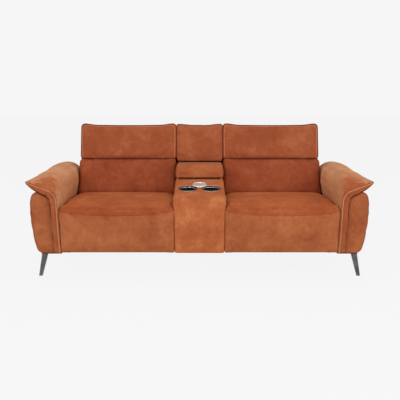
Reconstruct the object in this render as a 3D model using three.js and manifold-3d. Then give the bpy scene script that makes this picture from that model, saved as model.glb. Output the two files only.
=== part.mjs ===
// Reclining sofa for two with a console between the seats, in millimetres.
// X runs to the viewer's right, Y towards the back and Z up.
// Depths are measured from the plane of the seat fronts until the whole sofa is centred at the end.
import * as THREE from 'three';
import { mergeVertices } from 'three/addons/utils/BufferGeometryUtils.js';
import Module from 'manifold-3d';

const wasm = await Module();
wasm.setup();

// Overall sizes
const fabricGap = 0.4;
const seatGap = 3;
const consoleHalf = 154;
const armInner = 854;
const armWidth = 200;
const armTip = armInner + armWidth;
const seatInner = consoleHalf + seatGap;
const seatOuter = armInner - seatGap;
const baseHeight = 150;
const skirtHeight = 172;
const armLength = 860;
const armBaseInset = 60;
const armBaseOverhang = 12;

// Seat sizes
const deckHeight = 342;
const deckThickness = 10;
const seatTop = 465;
const seatSideDrop = 8;
const seatEdge = 70;
const seatDrawIn = 12;
const seatRear = 612;
const seatFrontCrown = 6;
const lipDepth = 92;
const seamMiddle = 407;
const seamInnerRise = 20;
const seamOuterRise = 12;
const seamRelief = 7;
const panelRiseShare = 0.1;
const panelSideGap = 2;

// Seat frame sizes
const railWidth = 29;
const railLow = 250;
const railHigh = 330;
const railFront = 130;
const railRear = 645;
const crossTube = 24;
const frontCrossDepth = 345;
const rearCrossDepth = 560;
const pinRadius = 8;
const boreClearance = 0.5;
const plateThickness = 6;
const plateGap = 1;

// Footrest sizes
const footrestThickness = 60;
const boardThickness = 18;
const boardInset = 18;
const boardDrop = 12;
const linkLength = 170;
const linkHalfWidth = 13;
const linkStep = 9;
const linkTubeRadius = 11;
const footPivotDepth = 170;
const footPivotHeight = 318;
const boardPivotSetback = 15;
const boardPivotHeight = 322;

// Drive sizes
const driveWidth = 30;
const driveHeight = 24;
const driveLength = 300;
const motorWidth = 84;
const motorLength = 90;
const motorHeight = 60;
const carriageLength = 60;
const pushRodWidth = 16;
const pushRodHeight = 16;
const pushRodGap = 4;
const slideClearance = 0.5;

// Backrest sizes, measured in the leaning frame from the recline axis
const lean = THREE.MathUtils.degToRad(14);
const backPivotDepth = 620;
const backPivotHeight = 300;
const backSideGap = 6.5;
const backInner = seatInner + backSideGap;
const lumbarInset = 11;
const lumbarOuter = seatOuter - lumbarInset;
const headrestInset = 25;
const headrestOuter = seatOuter - headrestInset;
const lumbarFront = -56;
const lumbarLow = 136;
const lumbarHigh = 371;
const headrestFront = -52;
const headrestLow = 379;
const headrestHigh = 627;
const headrestSaddle = 10;
const cushionRear = 39.5;
const frameFront = 40;
const frameDepth = 25;
const frameTop = 366;
const bracketThickness = 6;
const headrestAxisDepth = -20;
const headrestAxisHeight = 386;
const lugInset = 90;
const coverInset = 9;
const coverOuter = seatOuter - coverInset;
const coverRear = 200;
const coverLow = -80;
const coverHigh = 618;
const cushionEdge = 60;
const cushionDrawIn = 16;
const cushionCrown = 12;

// Arm sizes
const panelThickness = 27;
const panelInset = 2;
const padFoot = 430;
const panelHigh = padFoot - fabricGap;
const podGap = 0.5;
const podHigh = 540.6;
const podWidth = 175;
const podOuter = armInner + podWidth;
const podLow = 160.5;
const podFrontRound = 60;
const podFrontInset = 16;
const bandDepth = 20;
const bandProud = 4;
const padLow = 470;
const padCrest = 668;
const padFrontRoll = 130;
const padRearInset = 26;
const padFlareEnd = 600;
const padRearDrop = 50;
const padRearStart = 520;
const padRearEdge = 90;

// Leg sizes
const legPlate = 44;
const legPlateThickness = 5;
const legTopWidth = 38;
const legFootWidth = 22;
const legChamferShare = 0.22;
const legInset = 61;
const legTopX = podOuter - legInset;
const legSplayX = 30;
const legSplayY = 20;
const frontLegDepth = 120;
const rearLegDepth = armLength - frontLegDepth;

// Console sizes
const consoleWall = 18;
const consoleFront = 30;
const consoleRear = 650;
const consoleFloor = 18;
const coverThickness = 28;
const coverBend = 84;
const coverBulge = 7;
const coverFlare = 6;
const flareRange = [460, 500];
const topSlope = THREE.MathUtils.degToRad(9);
const cupDepth = 220;
const cupHeight = 534;
const consoleShoulderDrop = 79;
const consoleShoulder = cupHeight - consoleShoulderDrop;
const cupSpacing = 148;
const cupRim = 60.5;
const cupInner = 44;
const cupWall = 3;
const cupWell = 66;
const cupFlange = 3;
const cupClearance = 0.6;
const roundSides = 24;
const chargerDepth = 304;
const chargerRadius = 44;
const chargerRingWidth = 6;
const chargerHeight = 10;
const lidShelf = 575;
const lidFront = 440;
const lidRear = 638;
const lidLow = 585;
const lidRimDrop = 4;
const lidBoardThickness = 12;
const lidTop = 664;
const lidHalf = 162;
const lidAxisDepth = 646;
const lidAxisHeight = 648;
const lidArmX = 66;
const lidArmWidth = 10;
const binHalf = 126;
const binFront = 446;
const binRear = 622;
const binLow = 360;
const binWall = 4;
const binFlange = 7;
const binFlangeThickness = 4;

// Console back sizes, measured in the same leaning frame as the backrests
const dropHalf = 162;
const dropFront = -54;
const dropLow = 367;
const dropHigh = 628;
const dropSaddle = 8;
const dropRear = 40;
const dropBoardThickness = 12;
const dropBoardHalf = 149;
const dropAxisDepth = -26;
const dropAxisHeight = 413;
const dropEarReach = 13;
const dropEarInner = 142.5;
const dropEarOuter = 148.5;
const dropArmInner = 150;
const dropArmOuter = 157;
const dropNotch = 141.5;
const dropNotchFront = -42;
const dropNotchHigh = 428;
const backFrameFront = 72;
const backFrameDepth = 20;
const backFrameLow = 20;
const backFrameHigh = 590;
const consoleCoverHalf = 162;

// Switch sizes
const switchDepth = 330;
const switchHeight = 494;
const switchLength = 70;
const switchTall = 26;
const switchThickness = 3;
const rockerLength = 26;
const rockerTall = 16;
const rockerThickness = 6;
const rockerSpacing = 32;
const rockerSideGap = 0.3;
const rockerTiltGap = 1;

// One overrun serves every cut
const overrun = 20;

// Counts and powers that set how a padded section is drawn
const padSides = 20;
const padStations = 5;
const longPadStations = 6;
const shortPadStations = 3;
const endStations = 3;
const softRound = 5;
const firmRound = 6;
const boxRound = 8;

// Finishes
const finish = (color, roughness, metalness) => ({ color, roughness, metalness });
const fabric = finish(0x9c5330, 0.85, 0);
const litFabric = finish(0xb06a42, 0.85, 0);
const steel = finish(0x55565a, 0.5, 0.8);
const gunmetal = finish(0x4a494c, 0.42, 0.85);
const board = finish(0xb99a6b, 0.8, 0);
const blackPlastic = finish(0x151415, 0.25, 0);
const greyPlastic = finish(0x303033, 0.5, 0);
const chrome = finish(0xd9dadc, 0.12, 1);
const pearl = finish(0xdcd6d2, 0.2, 0.1);

// Numbers
const mix = THREE.MathUtils.lerp;
const span = (range, share) => mix(range[0], range[1], share);
const middle = (range) => span(range, 1 / 2);
const arc = (share) => Math.sqrt(1 - (1 - THREE.MathUtils.clamp(share, 0, 1)) ** 2);

// Stations along a range, close together within an edge distance of both ends
function stations(range, edge, edgeCount, innerCount) {
  const [from, to] = range;
  const near = [];
  for (let i = 0; i < edgeCount; i += 1) {
    near.push(edge * (1 - Math.cos((i / edgeCount) * (Math.PI / 2))));
  }
  const inner = [];
  for (let i = 0; i <= innerCount; i += 1) {
    inner.push(mix(from + edge, to - edge, i / innerCount));
  }
  return [...near.map((d) => from + d), ...inner, ...near.reverse().map((d) => to - d)];
}

// Turns a geometry's faces outwards by the sign of its volume
function outward(geometry) {
  const place = geometry.getAttribute('position');
  const index = geometry.getIndex();
  const corner = [new THREE.Vector3(), new THREE.Vector3(), new THREE.Vector3()];
  let volume = 0;
  for (let i = 0; i < index.count; i += 3) {
    corner.forEach((c, k) => c.fromBufferAttribute(place, index.getX(i + k)));
    volume += corner[0].dot(corner[1].clone().cross(corner[2]));
  }
  if (volume < 0) {
    for (let i = 0; i < index.count; i += 3) {
      const first = index.getX(i);
      index.setX(i, index.getX(i + 1));
      index.setX(i + 1, first);
    }
  }
  return geometry;
}

// Keeps only the positions of a geometry, with shared corners merged
function plain(geometry) {
  geometry.deleteAttribute('normal');
  geometry.deleteAttribute('uv');
  return outward(mergeVertices(geometry));
}

// Joins rings of [a, b] points into one closed skin, along X (a is Y) or along Y (a is X)
function loft(places, ringAt, axis) {
  const rings = places.map((place) => ringAt(place));
  const count = rings[0].length;
  const flat = rings[0].map(([a, b]) => new THREE.Vector2(a, b));
  if (THREE.ShapeUtils.isClockWise(flat)) {
    rings.forEach((ring) => ring.reverse());
  }
  const points = [];
  rings.forEach((ring, i) => {
    ring.forEach(([a, b]) => {
      points.push(...(axis === 'x' ? [places[i], a, b] : [a, places[i], b]));
    });
  });
  const faces = [];
  for (let i = 0; i + 1 < rings.length; i += 1) {
    for (let j = 0; j < count; j += 1) {
      const a = i * count + j;
      const b = i * count + ((j + 1) % count);
      faces.push(a, b, b + count, a, b + count, a + count);
    }
  }
  const cap = (ring, start, flip) => {
    const around = ring.map(([a, b]) => new THREE.Vector2(a, b));
    THREE.ShapeUtils.triangulateShape(around, []).forEach(([p, q, r]) => {
      const ccw = THREE.ShapeUtils.area([around[p], around[q], around[r]]) > 0;
      const [first, second] = ccw === flip ? [q, p] : [p, q];
      faces.push(start + first, start + second, start + r);
    });
  };
  cap(rings[0], 0, true);
  cap(rings[rings.length - 1], (rings.length - 1) * count, false);
  const geometry = new THREE.BufferGeometry();
  geometry.setAttribute('position', new THREE.Float32BufferAttribute(points, 3));
  geometry.setIndex(faces);
  return outward(geometry);
}

// A flat outline of [a, b] points carried from one place to another along an axis
function slab(outline, axis, range) {
  const shape = new THREE.Shape(outline.map(([a, b]) => new THREE.Vector2(a, b)));
  const depth = range[1] - range[0];
  const geometry = new THREE.ExtrudeGeometry(shape, { depth, bevelEnabled: false });
  const unit = { x: [1, 0, 0], y: [0, 1, 0], z: [0, 0, 1] };
  const across = { x: ['y', 'z', 'x'], y: ['x', 'z', 'y'], z: ['x', 'y', 'z'] }[axis];
  const turn = new THREE.Matrix4().makeBasis(...across.map((k) => new THREE.Vector3(...unit[k])));
  geometry.applyMatrix4(turn);
  geometry.translate(...unit[axis].map((k) => k * range[0]));
  return plain(geometry);
}

// A rectangular block between three ranges
function block(x, y, z) {
  const geometry = new THREE.BoxGeometry(x[1] - x[0], y[1] - y[0], z[1] - z[0]);
  geometry.translate(middle(x), middle(y), middle(z));
  return plain(geometry);
}

// A round bar along X
function rod(radius, x, y, z, sides = 12) {
  const geometry = new THREE.CylinderGeometry(radius, radius, x[1] - x[0], sides);
  geometry.rotateZ(Math.PI / 2);
  geometry.translate(middle(x), y, z);
  return plain(geometry);
}

// Solids
function solid(geometry) {
  const triVerts = new Uint32Array(geometry.getIndex().array);
  const vertProperties = new Float32Array(geometry.getAttribute('position').array);
  return new wasm.Manifold(new wasm.Mesh({ numProp: 3, vertProperties, triVerts }));
}

function skin(body) {
  const mesh = body.getMesh();
  const geometry = new THREE.BufferGeometry();
  geometry.setAttribute('position', new THREE.BufferAttribute(mesh.vertProperties, 3));
  geometry.setIndex(new THREE.BufferAttribute(mesh.triVerts, 1));
  return geometry;
}

const join = (...pieces) => skin(pieces.map(solid).reduce((a, b) => a.add(b)));
const cut = (piece, ...tools) => skin(tools.map(solid).reduce((a, b) => a.subtract(b), solid(piece)));

// The same piece on the left side of the sofa
function reflected(geometry) {
  const copy = geometry.clone();
  copy.scale(-1, 1, 1);
  return outward(copy);
}

// A padded block: a rounded section carried across the width, drawn in towards both ends
function pad({ x, y, z, edge, drawIn, crown, round = softRound, top = () => 0, inner = padStations }) {
  const ringAt = (place) => {
    const share = arc(Math.min(place - x[0], x[1] - place) / edge);
    const shrink = drawIn * (1 - share);
    const high = z[1] + top((place - middle(x)) / (x[1] - middle(x)));
    const halfY = (y[1] - y[0]) / 2 - shrink / 2;
    const halfZ = (high - z[0]) / 2 - shrink;
    const ring = [];
    for (let i = 0; i < padSides; i += 1) {
      const angle = ((i + 1 / 2) / padSides) * 2 * Math.PI;
      const c = Math.cos(angle);
      const s = Math.sin(angle);
      const a = Math.sign(c) * Math.abs(c) ** (2 / round);
      const b = Math.sign(s) * Math.abs(s) ** (2 / round);
      const swell = a < 0 ? crown * share * (1 - b * b) : 0;
      ring.push([y[1] - halfY + a * halfY - swell, (z[0] + high) / 2 + b * halfZ]);
    }
    return ring;
  };
  return loft(stations(x, edge, endStations, inner), ringAt, 'x');
}

const sofa = new THREE.Group();
const leaning = new THREE.Group();
leaning.position.set(0, backPivotDepth, backPivotHeight);
leaning.rotation.x = -lean;
sofa.add(leaning);

function place(name, geometry, look, group = sofa) {
  const mesh = new THREE.Mesh(geometry, new THREE.MeshStandardMaterial(look));
  mesh.name = name;
  group.add(mesh);
}

// Places a right-hand piece and its reflection
function placePair(name, geometry, look, group = sofa) {
  place(`right_${name}`, geometry, look, group);
  place(`left_${name}`, reflected(geometry), look, group);
}

// Height of the seam between seat and front panel, which rises towards both ends
function seamRise(share) {
  return share * share * (share < 0 ? seamInnerRise : seamOuterRise);
}

// Seat
const seatRange = [seatInner, seatOuter];
const seatShare = (x) => (x - middle(seatRange)) / (seatOuter - middle(seatRange));
const cushionLow = deckHeight + deckThickness + fabricGap;

function seatCushion() {
  const ringAt = (x) => {
    const share = arc(Math.min(x - seatInner, seatOuter - x) / seatEdge);
    const shrink = seatDrawIn * (1 - share);
    const lip = seamMiddle + seamRise(seatShare(x)) + seamRelief;
    const high = seatTop - seatSideDrop * seatShare(x) ** 2 - shrink;
    const rise = high - lip;
    const front = shrink - seatFrontCrown * share;
    const lipShares = [[0.12, 0], [0, 0.28], [0.04, 0.55], [0.22, 0.82], [0.5, 0.95], [1, 1]];
    const ring = lipShares.map(([a, b]) => [front + a * lipDepth, lip + b * rise]);
    const topShares = [[0.4, 1.05], [0.7, 1.02], [0.92, 0.97], [0.98, 0.8], [1, 0.45]];
    topShares.forEach(([a, b]) => ring.push([a * (seatRear - shrink), mix(cushionLow, high, b)]));
    ring.push([seatRear - shrink, cushionLow + seatDrawIn]);
    ring.push([seatRear - seatDrawIn - shrink, cushionLow]);
    ring.push([lipDepth, cushionLow]);
    ring.push([lipDepth, lip]);
    return ring;
  };
  return loft(stations(seatRange, seatEdge, 3, 7), ringAt, 'x');
}

function seatDeck() {
  const x = [seatInner + railWidth / 2, seatOuter - railWidth / 2];
  return block(x, [lipDepth, seatRear], [deckHeight, deckHeight + deckThickness]);
}

const innerRail = [consoleHalf + fabricGap, consoleHalf + fabricGap + railWidth];
const armPanel = [armInner + panelInset, armInner + panelThickness];
const outerRail = [armPanel[0] - fabricGap - railWidth, armPanel[0] - fabricGap];
const linkPlane = [innerRail[1] + plateGap, outerRail[0] - plateGap];

function seatFrame() {
  const rail = (x) => block(x, [railFront, railRear], [railLow, railHigh]);
  const riser = (x) => block(x, [lipDepth + railWidth, seatRear], [railHigh, deckHeight - fabricGap]);
  const tubeZ = [railHigh - crossTube, railHigh];
  const cross = (y) => block([innerRail[0], outerRail[1]], [y, y + crossTube], tubeZ);
  const reach = plateThickness + 2 * plateGap;
  const pins = [[footPivotDepth, footPivotHeight], [backPivotDepth, backPivotHeight]].flatMap(([y, z]) => [
    rod(pinRadius, [innerRail[0] + railWidth / 2, innerRail[1] + reach], y, z),
    rod(pinRadius, [outerRail[0] - reach, outerRail[0] + railWidth / 2], y, z),
  ]);
  const body = [rail(innerRail), rail(outerRail), riser(innerRail), riser(outerRail)];
  return join(...body, cross(frontCrossDepth), cross(rearCrossDepth), ...pins);
}

// Footrest linkage: two equal links a side fold into a V and push the board forwards
const boardPivotDepth = footrestThickness + boardThickness + boardPivotSetback;
const reachAtRest = [boardPivotDepth - footPivotDepth, boardPivotHeight - footPivotHeight];
const halfReach = Math.hypot(...reachAtRest) / 2;
const kneeDrop = Math.sqrt(linkLength ** 2 - halfReach ** 2);
const reachAngle = Math.atan2(reachAtRest[1], reachAtRest[0]);
const kneeDepth = footPivotDepth + reachAtRest[0] / 2 - kneeDrop * Math.sin(reachAngle);
const kneeHeight = footPivotHeight + reachAtRest[1] / 2 + kneeDrop * Math.cos(reachAngle);

// A flat bar between two pivots with round ends, as an outline in Y and Z
function barOutline(from, to) {
  const angle = Math.atan2(to[1] - from[1], to[0] - from[0]);
  const outline = [];
  const steps = 6;
  [[to, -Math.PI / 2], [from, Math.PI / 2]].forEach(([centre, start]) => {
    for (let i = 0; i <= steps; i += 1) {
      const turn = angle + start + (i / steps) * Math.PI;
      outline.push([centre[0] + linkHalfWidth * Math.cos(turn), centre[1] + linkHalfWidth * Math.sin(turn)]);
    }
  });
  return outline;
}

// Both bars of one link pair, their cross tube, the bores at one end and the pins at the other
function linkPair(from, to, planeOffset) {
  const bars = [
    [linkPlane[0] + planeOffset, linkPlane[0] + planeOffset + plateThickness],
    [linkPlane[1] - planeOffset - plateThickness, linkPlane[1] - planeOffset],
  ];
  const centre = [(from[0] + to[0]) / 2, (from[1] + to[1]) / 2];
  const tube = rod(linkTubeRadius, [bars[0][0], bars[1][1]], ...centre);
  const reach = plateThickness + 2 * plateGap;
  const pins = [
    rod(pinRadius, [bars[0][0], bars[0][1] + reach], ...to),
    rod(pinRadius, [bars[1][0] - reach, bars[1][1]], ...to),
  ];
  const body = join(...bars.map((x) => slab(barOutline(from, to), 'x', x)), tube, ...pins);
  const bores = bars.map((x) => {
    return rod(pinRadius + boreClearance, [x[0] - plateGap, x[1] + plateGap], ...from);
  });
  return cut(body, ...bores);
}

function footrestBoard() {
  const x = [seatInner + boardInset, seatOuter - boardInset];
  const y = [footrestThickness, footrestThickness + boardThickness];
  const panel = block(x, y, [skirtHeight + boardDrop, seamMiddle - seamRelief - boardDrop]);
  const offset = 2 * linkStep;
  const lugs = [
    [linkPlane[0] + offset, linkPlane[0] + offset + plateThickness],
    [linkPlane[1] - offset - plateThickness, linkPlane[1] - offset],
  ];
  const lug = (range) => {
    const low = boardPivotHeight - linkHalfWidth;
    const high = boardPivotHeight + linkHalfWidth;
    return block(range, [y[1] - plateGap, boardPivotDepth + linkHalfWidth], [low, high]);
  };
  const bore = (range) => rod(pinRadius + boreClearance, [range[0] - plateGap, range[1] + plateGap],
    boardPivotDepth, boardPivotHeight);
  return cut(join(panel, ...lugs.map(lug)), ...lugs.map(bore));
}

function footrestPad() {
  return pad({
    x: [seatInner + panelSideGap, seatOuter - panelSideGap],
    y: [0, footrestThickness - fabricGap],
    z: [skirtHeight, seamMiddle - seamRelief],
    edge: cushionEdge,
    drawIn: seatDrawIn,
    crown: seatFrontCrown,
    round: boxRound,
    top: (share) => panelRiseShare * seamRise(share),
    inner: longPadStations,
  });
}

// Drive under the seat: a fixed rail with its motor, and a carriage that slides along it
const driveMiddle = middle(seatRange);
const driveHigh = railHigh - crossTube - fabricGap;
const driveLow = driveHigh - driveHeight;
const driveFront = rearCrossDepth + crossTube - driveLength;
const tubeDepth = (footPivotDepth + kneeDepth) / 2;

function driveRail() {
  const x = [driveMiddle - driveWidth / 2, driveMiddle + driveWidth / 2];
  const rail = block(x, [driveFront, driveFront + driveLength], [driveLow, driveHigh]);
  const motorX = [driveMiddle - motorWidth / 2, driveMiddle + motorWidth / 2];
  const motorY = [driveFront + driveLength - motorLength, driveFront + driveLength];
  return join(rail, block(motorX, motorY, [driveLow - motorHeight, driveHigh]));
}

function driveCarriage() {
  const half = driveWidth / 2 + slideClearance;
  const wide = half + plateThickness;
  const back = driveFront + driveLength - motorLength - carriageLength;
  const y = [back - carriageLength, back];
  const low = driveLow - slideClearance - pushRodHeight;
  const floor = block([driveMiddle - wide, driveMiddle + wide], y, [low, driveLow - slideClearance]);
  const cheeks = [-1, 1].map((side) => {
    const edges = [driveMiddle + side * half, driveMiddle + side * wide].sort((a, b) => a - b);
    return block(edges, y, [low, driveHigh - driveHeight / 2]);
  });
  const rodX = [driveMiddle - pushRodWidth / 2, driveMiddle + pushRodWidth / 2];
  const front = tubeDepth + linkTubeRadius + pushRodGap;
  return join(floor, ...cheeks, block(rodX, [front, y[1]], [low, low + pushRodHeight]));
}

// Backrest pieces, in the leaning frame
const lugPlane = [linkPlane[0], linkPlane[1] - plateThickness];
const headrestLugs = [backInner + lugInset, headrestOuter - lugInset];

function backFrame() {
  const plates = lugPlane.map((x) => {
    const outline = [
      [-linkHalfWidth, -linkHalfWidth], [linkHalfWidth, -linkHalfWidth],
      [frameFront + frameDepth, frameFront + frameDepth], [frameFront + frameDepth, frameTop],
      [frameFront, frameTop], [frameFront, frameFront + frameDepth], [-linkHalfWidth, linkHalfWidth],
    ];
    return slab(outline, 'x', [x, x + plateThickness]);
  });
  const y = [frameFront, frameFront + frameDepth];
  const width = [lugPlane[0], lugPlane[1] + plateThickness];
  const railShares = [0.2, 0.55, 1];
  const rails = railShares.map((share) => {
    return block(width, y, [frameTop * share - crossTube, frameTop * share]);
  });
  const lugs = headrestLugs.map((x) => {
    const reach = [headrestAxisDepth - pinRadius, frameFront + pinRadius];
    const low = headrestAxisHeight - pinRadius / 2;
    const arm = block([x, x + plateThickness], reach, [low, low + pinRadius]);
    const post = block([x, x + plateThickness], [frameFront, frameFront + pinRadius],
      [frameTop - crossTube, low + pinRadius]);
    const side = x < middle([backInner, headrestOuter]) ? 1 : -1;
    const pinX = [x + plateThickness / 2, x + plateThickness / 2 + side * (2 * plateThickness)];
    const pin = rod(pinRadius / 2, pinX.sort((a, b) => a - b), headrestAxisDepth, headrestAxisHeight);
    return join(arm, post, pin);
  });
  const body = join(...plates, ...rails, ...lugs);
  const bores = lugPlane.map((x) => {
    return rod(pinRadius + boreClearance, [x - plateGap, x + plateThickness + plateGap], 0, 0);
  });
  return cut(body, ...bores);
}

function headrestBracket() {
  const from = headrestLugs[0] + plateThickness + plateGap;
  const to = headrestLugs[1] - plateGap;
  const y = [frameFront, frameFront + bracketThickness];
  const low = headrestAxisHeight - pinRadius;
  const plate = block([from, to], y, [low, headrestHigh - lugInset]);
  const ears = [[from, from + plateThickness], [to - plateThickness, to]];
  const body = join(plate, ...ears.map((x) => {
    return block(x, [headrestAxisDepth - pinRadius, y[1]], [low, headrestAxisHeight + pinRadius]);
  }));
  const bores = ears.map((x) => rod(pinRadius / 2 + boreClearance,
    [x[0] - plateGap, x[1] + plateGap], headrestAxisDepth, headrestAxisHeight));
  return cut(body, ...bores);
}

function lumbarCushion() {
  return pad({
    x: [backInner, lumbarOuter],
    y: [lumbarFront, cushionRear],
    z: [lumbarLow, lumbarHigh],
    edge: cushionEdge,
    drawIn: cushionDrawIn,
    crown: cushionCrown,
    top: (share) => -cushionDrawIn * Math.max(share, 0) ** 6,
  });
}

function headrestCushion() {
  const cushion = pad({
    x: [backInner, headrestOuter],
    y: [headrestFront, cushionRear],
    z: [headrestLow, headrestHigh],
    edge: cushionEdge,
    drawIn: cushionDrawIn,
    crown: cushionCrown,
    top: (share) => headrestSaddle * (share * share - 1),
  });
  const notches = headrestLugs.map((x) => {
    const width = 4 * plateThickness;
    const from = x < middle([backInner, headrestOuter]) ? x : x + plateThickness - width;
    return block([from - plateGap, from + width + plateGap],
      [headrestAxisDepth - linkHalfWidth, cushionRear + overrun],
      [headrestLow - overrun, headrestAxisHeight + linkHalfWidth]);
  });
  return cut(cushion, ...notches);
}

// The rear cover is thick behind the cushions and thin where it hangs down behind the seat
const hemShare = 0.86;

function coverRing(place, range) {
  const share = arc(Math.min(place - range[0], range[1] - place) / cushionEdge);
  const shrink = cushionDrawIn * (1 - share);
  const rear = coverRear - shrink;
  const inside = frameFront + frameDepth + fabricGap;
  const high = coverHigh - shrink;
  const rearShares = [[hemShare, -0.11], [0.93, 0.1], [1, 0.5], [0.97, 0.86], [0.88, 0.96], [0.62, 1]];
  const rearCurve = rearShares.map(([a, b]) => [rear * a, b < 0 ? coverLow + shrink : high * b]);
  const thick = cushionDrawIn + fabricGap;
  return [
    [inside, frameFront + frameDepth], [rear * hemShare - thick, 0],
    [rear * hemShare - thick, coverLow + shrink],
    ...rearCurve, [inside, high - thick], [inside - thick, high - 2 * thick],
    [inside - thick, headrestLow], [inside, frameTop + plateGap],
  ];
}

function backCover() {
  const range = [backInner, coverOuter];
  return loft(stations(range, cushionEdge, 2, 3), (x) => coverRing(x, range), 'x');
}

// Arm pieces
const podInner = armPanel[1] + podGap;

function armFrame() {
  const baseOuter = legTopX + armBaseOverhang;
  const outline = [
    [armPanel[0], baseHeight], [baseOuter, baseHeight], [baseOuter, podLow - fabricGap],
    [armPanel[1], podLow - fabricGap], [armPanel[1], panelHigh], [armPanel[0], panelHigh],
  ];
  return slab(outline, 'y', [armBaseInset, armLength - armBaseInset]);
}

function armBody() {
  const shares = [
    [0, 1], [0.82, 1], [0.93, 0.94], [0.99, 0.82], [1, 0.66], [0.96, 0.47], [0.88, 0.27], [0.79, 0.12],
    [0.7, 0.03], [0.6, 0], [0, 0],
  ];
  const ringAt = (y) => {
    const share = arc(Math.min(y - bandDepth, armLength - y) / podFrontRound);
    const inset = podFrontInset * (1 - share);
    const outer = podOuter - inset;
    return shares.map(([a, b]) => [mix(podInner, outer, a), mix(podLow, podHigh, b)]);
  };
  return loft(stations([bandDepth, armLength], podFrontRound, 3, 3), ringAt, 'y');
}

// The welt line that the arm pad starts from, and the full section it rises to
function armPad() {
  const width = [armInner, armTip];
  const height = [padLow, padCrest];
  const weltShares = [
    [0.01, 0.01], [0.02, 0.1], [0.045, 0.22], [0.08, 0.35], [0.16, 0.42], [0.34, 0.44], [0.54, 0.52],
    [0.75, 0.6], [0.92, 0.65], [1, 0.665],
  ];
  const sectionShares = [
    [0, 0], [-0.01, 0.35], [-0.005, 0.66], [0.03, 0.84], [0.11, 0.95], [0.25, 1], [0.43, 0.995],
    [0.65, 0.91], [0.86, 0.77], [1, 0.665],
  ];
  const underShares = [[0.955, 0.61], [0.86, 0.48], [0.79, 0.385]];
  const rearShares = [1, 0.45, 0.12, 0];
  const rearPart = rearShares.map((share) => armLength - share * padRearEdge);
  const frontPart = stations([bandDepth, armLength], padFrontRoll, 4, 4).filter((y) => y < rearPart[0]);
  const places = [...frontPart, ...rearPart];
  const ringAt = (y) => {
    const roll = arc((y - bandDepth) / padFrontRoll);
    const rear = THREE.MathUtils.clamp((y - padRearStart) / (armLength - padRearStart), 0, 1) ** 2;
    const flare = THREE.MathUtils.smoothstep(y, bandDepth, padFlareEnd);
    const outer = [width[0], mix(width[1], width[1] - padRearInset, flare)];
    const drop = padRearDrop * rear;
    const ring = sectionShares.map(([a, b], i) => {
      const [c, d] = weltShares[i];
      const x = span(outer, mix(c, a, roll));
      const z = span(height, mix(d, b, roll)) - drop * Math.max(0, mix(d, b, roll) - 1 / 2);
      return [x, z];
    });
    underShares.forEach(([a, b]) => ring.push([span(outer, a), span(height, b)]));
    ring.push([armPanel[1] + podGap, podHigh + fabricGap], [armPanel[1] + podGap, padFoot]);
    ring.push([armInner, padFoot]);
    return ring;
  };
  return loft(places, ringAt, 'y');
}

// The gusset band stands on the arm's front edge and runs out under the pad to its tip
function armBand() {
  const shares = [
    [0.005, -1.53], [0.005, -0.01], [0.095, 0.12], [0.325, 0.41], [0.7, 0.56], [0.985, 0.66],
    [0.79, 0.37], [0.5, 0.34], [0.29, 0.23], [0.225, 0.12], [0.22, -0.4], [0.2, -1.53],
  ];
  const outline = shares.map(([a, b]) => [span([armInner, armTip], a), span([padLow, padCrest], b)]);
  return slab(outline, 'y', [-bandProud, bandDepth - fabricGap]);
}

// A splayed leg of chamfered square section under its mounting plate
function leg(topDepth, splay) {
  const chamfered = (half, x, y, z) => {
    const flat = half * (1 - 2 * legChamferShare);
    const corners = [[half, flat], [flat, half], [-flat, half], [-half, flat],
      [-half, -flat], [-flat, -half], [flat, -half], [half, -flat]];
    return corners.map(([a, b]) => [x + a, y + b, z]);
  };
  const high = baseHeight - legPlateThickness;
  const top = chamfered(legTopWidth / 2, legTopX, topDepth, high + legPlateThickness / 2);
  const foot = chamfered(legFootWidth / 2, legTopX + legSplayX, topDepth + splay, 0);
  const geometry = new THREE.BufferGeometry();
  geometry.setAttribute('position', new THREE.Float32BufferAttribute([...foot, ...top].flat(), 3));
  const faces = [];
  const count = foot.length;
  for (let i = 0; i < count; i += 1) {
    const next = (i + 1) % count;
    faces.push(i, next, next + count, i, next + count, i + count);
  }
  for (let i = 1; i + 1 < count; i += 1) {
    faces.push(0, i + 1, i, count, count + i, count + i + 1);
  }
  geometry.setIndex(faces);
  const plate = block([legTopX - legPlate / 2, legTopX + legPlate / 2],
    [topDepth - legPlate / 2, topDepth + legPlate / 2], [high, baseHeight - fabricGap]);
  return join(outward(geometry), plate);
}

// Console
const topHeight = (y) => cupHeight + (y - cupDepth) * Math.tan(topSlope);
const coverEnd = lidFront - seatGap * 2;

function consoleFrame() {
  const under = (y) => topHeight(y) - coverThickness - fabricGap;
  const outline = [
    [consoleFront, skirtHeight], [consoleFront, consoleShoulder],
    [consoleFront + coverThickness, under(consoleFront + coverThickness)],
    [coverEnd + fabricGap, under(coverEnd + fabricGap)], [coverEnd + fabricGap, lidShelf],
    [consoleRear, lidShelf], [consoleRear, skirtHeight],
  ];
  const shell = slab(outline, 'x', [-consoleHalf, consoleHalf]);
  const hollow = block([-consoleHalf + consoleWall, consoleHalf - consoleWall],
    [consoleFront + consoleWall, consoleRear - consoleWall],
    [skirtHeight + consoleFloor, lidShelf + overrun]);
  return cut(shell, hollow);
}

function cupTool(radius, x) {
  const geometry = new THREE.CylinderGeometry(radius, radius, 2 * (cupWell + overrun), roundSides);
  geometry.rotateX(Math.PI / 2);
  geometry.rotateX(topSlope);
  geometry.translate(x, cupDepth, cupHeight);
  return plain(geometry);
}

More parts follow.
